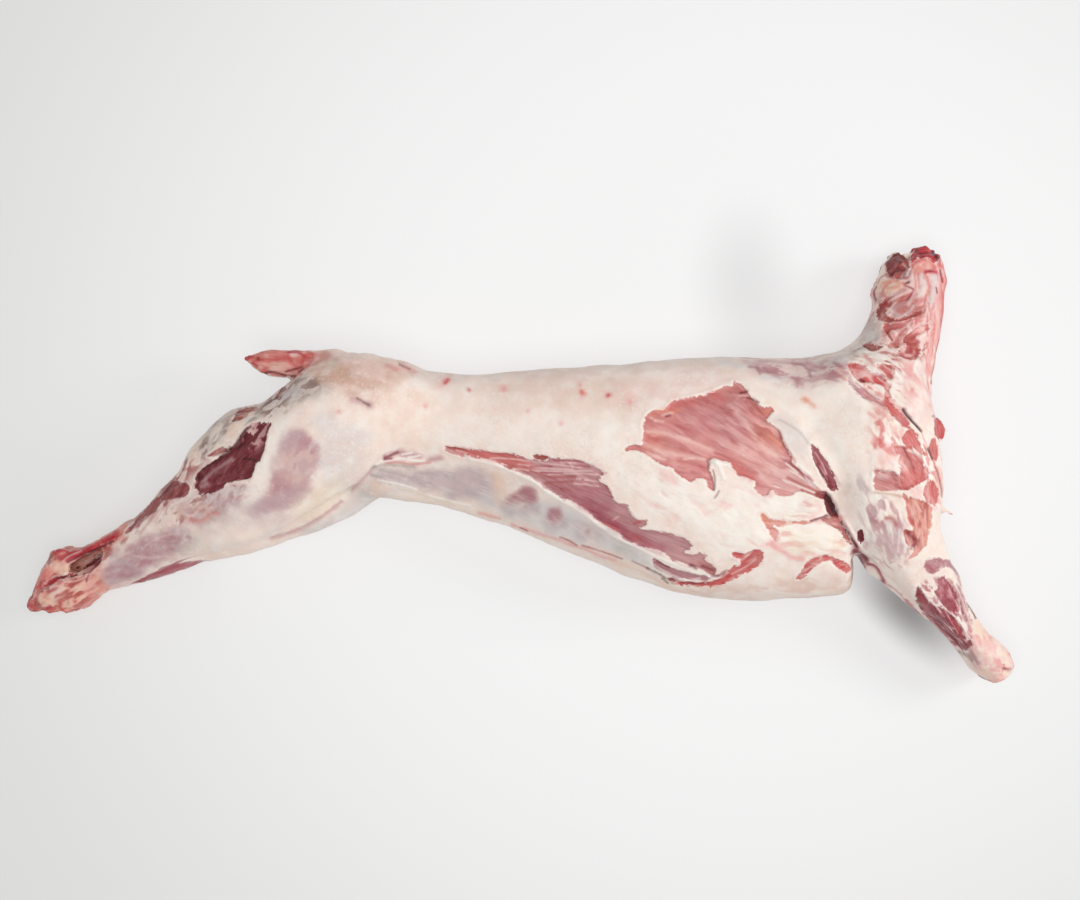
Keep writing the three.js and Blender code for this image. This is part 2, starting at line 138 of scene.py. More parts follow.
@dataclass(frozen=True)
class Patch:
    """Bare flesh that shows where the fat is cut away.

    Depth is how deep it lies, or how high where it is below 0, grain is the angle of its fibres in degrees,
    fray is how far its edge is torn, and film is how much of it thin skin covers. Fibres that fan out have a
    pole.
    """

    name: str
    tone: Tone
    depth: float
    grain: float
    fray: float
    film: float
    outline: Places
    pole: Place | None = None


@dataclass(frozen=True)
class Tint:
    """A stretch of another colour, whose edge fades over its softness in pixels."""

    tone: Tone
    strength: float
    softness: float
    outline: Places


@dataclass(frozen=True)
class Marbling:
    """Streaks of a dark and a pale tone that run through a stretch.

    Balance shifts them from dark at 1 to pale at -1. A streak is so many millimetres wide, so many times as
    long, and runs at an angle. The pale ones stand up by the height.
    """

    layer: Layer
    dark: Tone
    pale: Tone
    balance: float
    width: float
    length: float
    angle: float
    strength: float
    height: float
    softness: float
    outline: Places


@dataclass(frozen=True)
class Strokes:
    """Lines, or spots where they have one place: half their width, how strong and how high they are."""

    tone: Tone | None
    width: float
    strength: float
    height: float
    lines: tuple[Places, ...]


PUSHES = (
    # the upper edge of the hind leg, from the shank to the tail
    Push((135, 512), (2, 3)), Push((150, 498), (2, 2)), Push((165, 485), (0, 1)), Push((180, 468), (3, 4)),
    Push((192, 455), (-4, -3)), Push((205, 437), (-2, -2)), Push((215, 426), (-3, -3)),
    Push((230, 417), (-3, -4)), Push((245, 405), (0, 1)), Push((257, 397), (6, 9)), Push((270, 388), (5, 8)),
    Push((281, 382), (2, 4)), Push((290, 378), (0, 0)), Push((257, 369), (-1, 4)), Push((245, 356), (2, 3)),
    Push((264, 352), (0, -3)), Push((272, 374), (0, 0)),
    # the rump
    Push((340, 355), (0, -4)), Push((360, 356), (0, -3)), Push((380, 356), (0, 1)), Push((400, 359), (0, 2)),
    Push((420, 366), (0, 3)),
    # the hock
    Push((45, 606), (-1, 7)), Push((34, 606), (-5, 3)), Push((65, 608), (0, 4)), Push((56, 608), (0, 0)),
    Push((37, 580), (0, 0)), Push((47, 560), (1, 0)),
    # the lower edge of the hind leg, up to the groin
    Push((80, 608), (0, -3)), Push((100, 601), (-1, -6)), Push((120, 593), (-1, -5)),
    Push((140, 588), (-1, -5)), Push((160, 583), (-1, -5)), Push((180, 577), (-1, -7)),
    Push((200, 571), (-2, -8)), Push((220, 566), (-1, -6)), Push((240, 561), (-2, -7)),
    Push((260, 558), (-2, -8)), Push((280, 549), (-2, -6)), Push((295, 539), (0, 0)),
    Push((310, 528), (2, 6)), Push((325, 520), (3, 7)), Push((340, 512), (3, 8)), Push((360, 502), (3, 6)),
    Push((380, 494), (1, 4)), Push((400, 497), (0, 3)),
    # the neck
    Push((825, 357), (0, -2)), Push((838, 354), (-1, -5)), Push((848, 345), (2, -1)),
    Push((853, 331), (9, 4)), Push((861, 320), (7, 2)), Push((869, 309), (1, 0)), Push((875, 290), (-4, 0)),
    Push((905, 250), (0, 6)), Push((920, 246), (0, 0)), Push((893, 254), (-2, -4)), Push((944, 280), (2, 0)),
    # the front of the breast
    Push((946, 431), (-2, -2)), Push((937, 447), (3, 0)), Push((938, 465), (4, 0)), Push((938, 480), (5, 0)),
    Push((940, 497), (4, 0)),
    # the foreleg
    Push((955, 575), (5, -1)), Push((980, 620), (-3, 1)), Push((993, 632), (-4, 5)),
    Push((1006, 641), (-6, 5)), Push((1014, 651), (-4, 3)), Push((990, 680), (0, 4)),
    Push((980, 676), (0, 2)), Push((970, 667), (4, -5)), Push((950, 651), (6, -7)),
    Push((930, 635), (7, -8)), Push((910, 616), (5, -6)), Push((890, 601), (8, -9)),
    Push((872, 584), (7, -9)), Push((862, 570), (3, -5)), Push((850, 585), (-1, 0)),
)

HIND_PATCHES = (
    Patch("thigh_muscle", Tone.MAROON, 1.8, 40, 1.6, 0.03, ((195, 480), (198, 473), (232, 446), (242, 431),
        (249, 425), (256, 422), (265, 421), (271, 424), (268, 431), (262, 459), (256, 464), (250, 479),
        (236, 480), (226, 484), (222, 489), (202, 495), (198, 492), (195, 487))),
    Patch("shank_edge", Tone.BROWN, 1, 45, 1.8, 0.12, ((125, 533), (129, 526), (150, 503), (170, 484),
        (178, 481), (184, 483), (190, 487), (189, 493), (183, 498), (165, 500), (160, 504), (155, 511),
        (149, 515), (143, 517), (131, 531))),
    Patch("below_thigh", Tone.RUST, 0.6, 30, 2.2, 0.5, ((190, 503), (195, 499), (202, 496), (208, 496),
        (204, 500), (198, 502), (194, 505))),
    Patch("shank_strip", Tone.RASPBERRY, 0.8, 22, 1.2, 0.15, ((131, 584), (163, 567), (172, 564),
        (181, 562), (203, 561), (196, 565), (163, 577), (140, 583))),
    Patch("far_thigh", Tone.RUST, 0.6, 25, 1.2, 0.1, ((231, 421), (236, 413), (241, 409), (249, 406),
        (257, 407), (258, 411), (250, 413), (246, 417), (239, 420))),
    Patch("far_thigh_low", Tone.RUST, 0.5, 30, 1.4, 0.35, ((205, 457), (218, 448), (224, 447), (228, 451),
        (222, 454))),
    Patch("thigh_cleft", Tone.WINE, 0.8, 55, 1.4, 0.3, ((276, 399), (277, 394), (285, 386), (286, 391),
        (282, 396), (281, 400))),
    Patch("tail", Tone.SALMON, 0.2, 0, 1, 0.15, ((244, 359), (250, 353), (257, 349), (266, 347), (278, 347),
        (314, 353), (302, 374), (294, 379), (286, 379), (270, 375), (264, 378), (257, 373), (253, 366),
        (248, 364))),
    Patch("hock_furrow", Tone.MAROON, 1.2, 25, 0.8, 0, ((40, 590), (52, 578), (74, 573), (82, 569),
        (97, 557), (102, 556), (95, 569), (82, 575), (64, 578), (56, 581), (52, 585), (45, 587))),
)

BELLY_PATCHES = (
    Patch("belly_strip", Tone.PLUM, 1.4, -22, 1.6, 0.12, ((447, 447), (496, 453), (513, 454), (518, 457),
        (530, 460), (545, 461), (553, 459), (570, 459), (582, 461), (587, 463), (603, 473), (599, 478),
        (600, 483), (604, 485), (609, 490), (614, 501), (626, 505), (630, 512), (638, 520), (646, 521),
        (645, 526), (640, 529), (672, 534), (683, 537), (693, 545), (690, 549), (684, 553), (690, 555),
        (700, 554), (706, 556), (706, 561), (713, 565), (716, 570), (714, 575), (708, 574), (695, 567),
        (672, 561), (665, 556), (637, 544), (627, 541), (617, 532), (600, 523), (583, 509), (555, 494),
        (545, 488), (538, 482), (525, 475), (495, 462), (485, 459), (455, 454))),
    Patch("belly_fleck", Tone.BRICK, 0.6, -20, 1.2, 0.1, ((533, 455), (547, 456), (547, 459), (541, 461),
        (536, 459))),
    Patch("belly_corner", Tone.MAUVE, 0.8, -18, 1.4, 0.15, ((654, 557), (665, 565), (674, 569), (707, 577),
        (708, 580), (700, 581), (672, 577), (656, 569), (652, 563))),
    Patch("crescent", Tone.CORAL, 1.4, 20, 1.6, 0.1, ((668, 578), (680, 581), (695, 583), (708, 583),
        (718, 579), (731, 568), (738, 566), (741, 562), (738, 559), (733, 557), (731, 553), (737, 552),
        (745, 553), (758, 549), (763, 552), (762, 560), (758, 566), (731, 581), (713, 587), (700, 587),
        (674, 583))),
    Patch("brisket_band", Tone.CORAL, 1, 30, 1.4, 0.15, ((797, 577), (808, 561), (813, 558), (820, 556),
        (828, 555), (849, 565), (850, 571), (847, 573), (836, 567), (833, 563), (826, 561), (813, 568),
        (804, 577), (799, 579))),
    Patch("breast_fold", Tone.SALMON, 0.8, -5, 1.6, 0.3, ((761, 514), (766, 514), (769, 519), (776, 520),
        (795, 522), (811, 521), (809, 524), (795, 524), (778, 527), (773, 526), (777, 531), (777, 537),
        (774, 540), (763, 521))),
)

FRONT_PATCHES = (
    Patch("flank", Tone.ROSE, 1.6, -33, 1.8, 0.1, ((626, 450), (628, 446), (634, 444), (641, 446),
        (643, 440), (643, 425), (645, 419), (649, 413), (656, 410), (664, 410), (670, 404), (676, 400),
        (692, 397), (714, 391), (724, 387), (731, 386), (734, 382), (747, 388), (747, 392), (751, 397),
        (761, 405), (768, 407), (773, 411), (767, 421), (779, 429), (784, 443), (791, 456), (793, 463),
        (806, 478), (824, 494), (818, 497), (802, 491), (792, 495), (783, 497), (775, 494), (771, 490),
        (764, 497), (759, 494), (754, 488), (754, 482), (748, 478), (738, 475), (727, 462), (711, 459),
        (709, 464), (710, 470), (714, 480), (714, 489), (709, 488), (705, 481), (698, 479), (691, 482),
        (684, 479), (670, 468), (662, 465), (640, 452)), (840, 505)),
    Patch("behind_arm", Tone.WINE, 1.4, -60, 1, 0.08, ((811, 447), (814, 445), (828, 462), (837, 484),
        (838, 490), (833, 491), (829, 489), (816, 465))),
    Patch("armpit", Tone.MAROON, 2, -60, 0.8, 0, ((815, 493), (822, 491), (829, 494), (839, 516),
        (834, 518), (828, 513), (825, 506), (824, 499), (818, 498))),
    Patch("below_armpit", Tone.BRICK, 1, -15, 1.2, 0.2, ((820, 520), (829, 517), (838, 517), (848, 535),
        (852, 545), (846, 540), (839, 530))),
    Patch("shoulder_top", Tone.CORAL, 1, -35, 1.6, 0.1, ((848, 368), (850, 364), (857, 363), (864, 366),
        (870, 371), (883, 376), (891, 385), (890, 391), (891, 397), (889, 401), (906, 418), (910, 425),
        (910, 430), (905, 428), (899, 423), (888, 411), (885, 405), (884, 398), (885, 390), (882, 386),
        (876, 384), (860, 382), (855, 378))),
    Patch("shoulder_strands", Tone.MAUVE, 0.6, -42, 1.6, 0.5, ((848, 379), (856, 386), (865, 390),
        (883, 402), (884, 407), (876, 404), (858, 394), (851, 386))),
    Patch("breast_behind_slit", Tone.CORAL, 1, -55, 1.2, 0.15, ((902, 440), (905, 433), (909, 429),
        (914, 429), (918, 435), (923, 450), (927, 455), (921, 454), (914, 449), (907, 447))),
    Patch("breast_ring", Tone.CORAL, 1.4, -55, 1.4, 0.15, ((894, 447), (902, 446), (917, 453), (922, 459),
        (929, 472), (927, 479), (912, 488), (904, 490), (897, 488), (899, 483), (896, 477), (900, 474),
        (901, 468), (898, 462), (900, 455), (896, 452))),
    Patch("breast_pink", Tone.ROSE, 1.2, -20, 1, 0.3, ((875, 470), (882, 471), (890, 470), (895, 473),
        (900, 478), (900, 484), (898, 490), (890, 491), (875, 490), (874, 480))),
    Patch("breast_corner", Tone.CORAL, 1, -70, 1.2, 0.15, ((924, 488), (928, 482), (933, 480), (937, 485),
        (939, 491), (937, 505), (931, 504), (926, 501), (923, 495))),
    Patch("breast_muscle", Tone.SALMON, 1.2, -75, 1.4, 0.12, ((903, 494), (908, 497), (924, 501),
        (930, 506), (932, 514), (932, 524), (926, 542), (922, 550), (915, 556), (908, 559), (913, 549),
        (907, 545), (904, 537), (904, 530), (911, 531), (914, 528), (909, 522), (907, 515), (907, 508))),
    Patch("breast_edge", Tone.CORAL, 1, -65, 1.2, 0.2, ((929, 448), (933, 438), (936, 439), (939, 447),
        (939, 455), (936, 461))),
    Patch("breast_edge_lump", Tone.RED, -1, -70, 0.8, 0.1, ((934, 420), (938, 417), (943, 424), (945, 431),
        (943, 438), (937, 437), (934, 431), (935, 426))),
    Patch("elbow_spot", Tone.MAROON, 0.8, -80, 0.8, 0, ((858, 532), (862, 530), (864, 535), (863, 541),
        (861, 543), (858, 539))),
    Patch("forearm_top", Tone.MAUVE, 0.8, -30, 1.4, 0.3, ((924, 567), (925, 562), (930, 559), (938, 558),
        (945, 560), (951, 560), (956, 565), (962, 581), (953, 570), (948, 567), (943, 567), (934, 574),
        (928, 572))),
    Patch("forearm_middle", Tone.RASPBERRY, 1, -60, 1.2, 0.12, ((937, 580), (941, 577), (947, 580),
        (952, 586), (959, 603), (959, 612), (956, 617), (950, 613), (943, 606), (934, 593), (938, 588))),
    Patch("forearm_edge", Tone.MAUVE, 0.6, -65, 1.2, 0.4, ((956, 585), (960, 588), (965, 597), (970, 617),
        (971, 628), (966, 622), (962, 612))),
    Patch("forearm_lower", Tone.WINE, 1.2, -58, 1.2, 0.08, ((916, 591), (919, 587), (931, 603), (944, 609),
        (957, 620), (972, 643), (969, 647), (963, 650), (941, 636), (934, 630), (928, 622), (918, 603),
        (916, 597))),
    Patch("neck_left_lump", Tone.RUST, 0.6, 60, 1.4, 0.05, ((885, 262), (887, 256), (892, 252), (898, 250),
        (908, 260), (909, 266), (908, 272), (905, 277), (901, 280), (889, 275), (886, 268))),
    Patch("neck_crown", Tone.CRIMSON, -0.6, 10, 1.4, 0, ((910, 260), (915, 248), (919, 244), (925, 243),
        (931, 246), (938, 255), (938, 260), (933, 263), (926, 257), (921, 259), (917, 258), (914, 261))),
    Patch("neck_first_fold", Tone.BRICK, 1.6, 50, 1.2, 0.1, ((877, 318), (876, 311), (879, 305), (883, 300),
        (888, 297), (893, 296), (890, 300), (892, 304), (887, 309), (886, 315), (891, 318), (897, 319),
        (920, 311), (920, 314), (896, 322), (880, 321))),
    Patch("neck_second_fold", Tone.CORAL, 1.2, 15, 1.2, 0.15, ((884, 322), (893, 323), (911, 318),
        (906, 325), (898, 330), (891, 330), (889, 334), (893, 341), (884, 331), (883, 326))),
    Patch("neck_third_fold", Tone.CORAL, 1.6, 35, 1.2, 0.12, ((904, 341), (907, 335), (912, 332),
        (917, 327), (925, 324), (931, 325), (928, 330), (917, 337), (920, 341), (919, 346), (920, 351),
        (917, 357), (911, 360), (899, 355), (898, 350), (907, 344))),
    Patch("neck_cut", Tone.BRICK, 0.8, 0, 1, 0.15, ((863, 345), (866, 343), (882, 345), (879, 349),
        (873, 351), (867, 349))),
    Patch("neck_root", Tone.CORAL, 0.8, -40, 1.2, 0.1, ((878, 364), (893, 366), (892, 380), (887, 379),
        (881, 373), (878, 368))),
)

FAT_TINTS = (
    Tint(Tone.MAUVE, 0.55, 6, ((178, 506), (196, 500), (222, 500), (224, 512), (206, 524), (186, 520))),
    Tint(Tone.IVORY, 0.75, 22, ((590, 420), (640, 425), (700, 480), (760, 500), (800, 500), (820, 520),
        (770, 560), (720, 560), (600, 460))),
    Tint(Tone.IVORY, 0.6, 18, ((760, 385), (830, 380), (875, 400), (880, 500), (900, 580), (930, 600),
        (860, 560), (840, 480), (800, 430))),
    Tint(Tone.IVORY, 0.5, 14, ((440, 425), (545, 425), (620, 440), (560, 455), (440, 446))),
    Tint(Tone.BLUSH, 0.8, 14, ((305, 352), (345, 350), (392, 362), (408, 376), (385, 388), (350, 392),
        (320, 382))),
    Tint(Tone.TAN, 0.45, 9, ((312, 362), (350, 360), (352, 372), (318, 378))),
    Tint(Tone.GREY, 0.6, 7, ((286, 386), (300, 376), (330, 384), (325, 396), (300, 402), (284, 402))),
    # painted shade along the back's upper edge, where it turns away from the light
    Tint(Tone.GREY, 0.25, 8, ((405, 364), (440, 368), (520, 360), (740, 350), (740, 366), (520, 376),
        (440, 384), (412, 384))),
    Tint(Tone.BLUSH, 0.35, 16, ((490, 380), (560, 372), (640, 376), (640, 410), (560, 408), (500, 402))),
    Tint(Tone.SHELL, 0.4, 12, ((620, 385), (700, 372), (740, 372), (700, 390), (640, 404))),
    Tint(Tone.MIST, 0.6, 12, ((315, 425), (345, 420), (372, 440), (350, 480), (322, 480))),
    Tint(Tone.HAZE, 0.8, 8, ((276, 470), (284, 440), (304, 432), (314, 448), (314, 476), (296, 500),
        (262, 510))),
    Tint(Tone.HAZE, 0.7, 7, ((104, 580), (106, 560), (124, 548), (150, 536), (186, 530), (180, 552),
        (150, 566), (126, 582))),
    Tint(Tone.WHITE, 0.6, 8, ((274, 424), (287, 424), (264, 486), (256, 500), (245, 494))),
    Tint(Tone.CREAM, 0.5, 9, ((300, 490), (345, 484), (335, 512), (300, 520))),
    Tint(Tone.PEACH, 0.25, 12, ((375, 395), (430, 385), (430, 440), (390, 440))),
    Tint(Tone.GREY, 0.55, 7, ((200, 425), (225, 412), (262, 416), (228, 440), (205, 455))),
    Tint(Tone.MIST, 0.7, 7, ((300, 530), (345, 505), (375, 474), (410, 488), (385, 500), (330, 535))),
    Tint(Tone.PEACH, 0.5, 7, ((372, 482), (394, 482), (392, 493), (372, 498))),
    Tint(Tone.BLUSH, 0.45, 9, ((690, 590), (760, 586), (850, 575), (850, 590), (760, 602), (700, 602))),
    Tint(Tone.CREAM, 0.55, 7, ((782, 530), (820, 528), (848, 546), (820, 552), (790, 548))),
    Tint(Tone.MIST, 0.5, 8, ((760, 412), (795, 420), (806, 450), (788, 446), (770, 424))),
    Tint(Tone.SHELL, 0.5, 8, ((900, 375), (930, 375), (934, 420), (912, 416), (900, 396))),
    Tint(Tone.SHELL, 0.85, 8, ((868, 340), (866, 300), (880, 272), (910, 256), (945, 262), (946, 300),
        (940, 350), (930, 375), (895, 368))),
    # painted shade in the corner between the neck and the back
    Tint(Tone.GREY, 0.75, 7, ((815, 362), (850, 348), (866, 318), (876, 318), (880, 338), (850, 364))),
    Tint(Tone.PEACH, 0.7, 5, ((880, 278), (900, 278), (905, 290), (895, 298), (878, 300))),
    Tint(Tone.SALMON, 0.9, 4, ((22, 622), (28, 592), (50, 542), (72, 540), (122, 522), (124, 536),
        (114, 546), (106, 560), (104, 578), (112, 592), (92, 610), (60, 622))),
    Tint(Tone.SHELL, 0.75, 3.5, ((46, 588), (58, 583), (67, 587), (66, 597), (54, 600), (46, 596))),
    Tint(Tone.PEACH, 0.55, 4, ((38, 596), (60, 600), (74, 596), (72, 606), (40, 608))),
    Tint(Tone.CREAM, 0.45, 4, ((60, 566), (68, 560), (70, 572), (60, 576))),
    Tint(Tone.SHELL, 0.75, 7, ((968, 625), (985, 622), (1005, 640), (1020, 665), (1008, 690), (980, 684))),
)

SKIN_TINTS = (
    Tint(Tone.HAZE, 0.85, 6, ((104, 567), (133, 546), (148, 539), (165, 533), (184, 530), (190, 536),
        (184, 546), (176, 553), (130, 580), (112, 586), (102, 580))),
    Tint(Tone.GREY, 0.6, 5, ((172, 540), (188, 534), (200, 540), (192, 552), (176, 554))),
    Tint(Tone.BLUSH, 0.9, 3, ((178, 505), (204, 498), (216, 502), (221, 508), (219, 515), (203, 523),
        (179, 517))),
    Tint(Tone.LILAC, 0.7, 5, ((208, 494), (238, 484), (242, 492), (236, 508), (220, 512), (208, 504))),
    Tint(Tone.HAZE, 0.8, 7, ((273, 468), (279, 452), (288, 438), (297, 432), (307, 433), (315, 454),
        (316, 468), (312, 484), (300, 500), (272, 508), (258, 516), (250, 516), (270, 486))),
    Tint(Tone.BLUSH, 0.7, 5, ((274, 466), (286, 450), (306, 450), (314, 460), (306, 484), (282, 482))),
    Tint(Tone.LILAC, 0.45, 10, ((205, 515), (240, 505), (285, 510), (280, 530), (235, 528), (205, 530))),
    Tint(Tone.LILAC, 0.95, 6, ((378, 468), (400, 470), (470, 468), (486, 474), (494, 488), (492, 503),
        (410, 488), (384, 480))),
    Tint(Tone.MIST, 0.85, 8, ((492, 490), (520, 505), (550, 498), (590, 518), (640, 548), (668, 572),
        (650, 572), (600, 550), (485, 508))),
    Tint(Tone.PEACH, 0.6, 5, ((493, 476), (503, 478), (508, 500), (498, 506), (493, 492))),
    Tint(Tone.LILAC, 0.7, 6, ((505, 502), (530, 503), (540, 508), (530, 516), (508, 513))),
    Tint(Tone.LILAC, 0.7, 5, ((545, 518), (564, 518), (566, 527), (548, 528))),
    Tint(Tone.LILAC, 0.6, 6, ((574, 522), (598, 524), (604, 540), (584, 540))),
    Tint(Tone.GREY, 0.5, 6, ((614, 540), (636, 546), (636, 556), (616, 554))),
    Tint(Tone.HAZE, 0.45, 6, ((744, 358), (765, 356), (838, 360), (850, 367), (846, 377), (808, 386),
        (792, 384), (776, 376), (752, 372))),
    Tint(Tone.HAZE, 0.75, 4, ((884, 524), (892, 519), (902, 522), (907, 534), (908, 548), (903, 558),
        (893, 560), (886, 552), (882, 538))),
    Tint(Tone.LILAC, 0.5, 6, ((864, 530), (878, 532), (884, 548), (876, 556), (864, 548))),
    Tint(Tone.PINK, 0.5, 5, ((878, 446), (894, 446), (898, 460), (884, 466), (876, 460))),
    Tint(Tone.SHELL, 0.8, 5, ((908, 484), (926, 486), (924, 500), (908, 497))),
    Tint(Tone.MAUVE, 0.9, 3, ((508, 498), (520, 488), (528, 486), (536, 489), (539, 495), (538, 501),
        (530, 503), (512, 502))),
    Tint(Tone.MAUVE, 0.85, 3, ((548, 508), (559, 507), (562, 512), (561, 518), (556, 521), (550, 520),
        (547, 515))),
)

FLESH_TINTS = (
    Tint(Tone.RASPBERRY, 0.35, 9, ((678, 404), (704, 400), (708, 430), (690, 440), (676, 420))),
    Tint(Tone.MAUVE, 0.4, 8, ((718, 404), (744, 400), (748, 436), (724, 446), (714, 424))),
    Tint(Tone.SALMON, 0.6, 7, ((758, 420), (778, 430), (786, 452), (766, 448), (752, 436))),
    Tint(Tone.SHELL, 0.55, 7, ((762, 462), (790, 462), (822, 494), (790, 496), (762, 488))),
    Tint(Tone.PALE_FIBRE, 0.35, 8, ((740, 442), (768, 448), (772, 466), (744, 462))),
    Tint(Tone.SALMON, 0.7, 5, ((643, 430), (662, 432), (668, 446), (648, 450))),
    Tint(Tone.CORAL, 0.75, 5, ((446, 446), (515, 454), (530, 470), (505, 470), (470, 458))),
    Tint(Tone.RASPBERRY, 0.45, 6, ((548, 480), (600, 488), (612, 508), (596, 512), (560, 496))),
    Tint(Tone.RASPBERRY, 0.8, 3.5, ((588, 508), (604, 514), (622, 528), (650, 542), (648, 549), (622, 540),
        (600, 524))),
    Tint(Tone.BRICK, 0.7, 4, ((698, 562), (712, 566), (716, 576), (702, 570))),
    Tint(Tone.ROSE, 0.6, 4, ((746, 550), (764, 550), (762, 564), (748, 566))),
    Tint(Tone.LILAC, 0.55, 3, ((878, 472), (890, 472), (888, 480), (878, 480))),
    Tint(Tone.SHELL, 0.6, 3, ((899, 458), (907, 457), (912, 466), (904, 471), (899, 466))),
    Tint(Tone.RED, 0.6, 3, ((920, 468), (929, 470), (926, 480), (916, 484), (918, 476))),
    Tint(Tone.LILAC, 0.5, 4, ((888, 418), (900, 420), (904, 430), (892, 430))),
    Tint(Tone.BRICK, 0.6, 3.5, ((903, 528), (912, 531), (920, 542), (912, 550), (904, 542))),
    Tint(Tone.SHELL, 0.5, 3, ((935, 580), (944, 578), (944, 592), (937, 592))),
    Tint(Tone.MAROON, 0.45, 3, ((950, 600), (957, 600), (958, 612), (951, 610))),
    Tint(Tone.MAROON, 0.4, 4, ((945, 634), (962, 640), (966, 648), (950, 642))),
    Tint(Tone.RED, 0.8, 2.5, ((52, 550), (68, 547), (70, 553), (56, 558))),
)

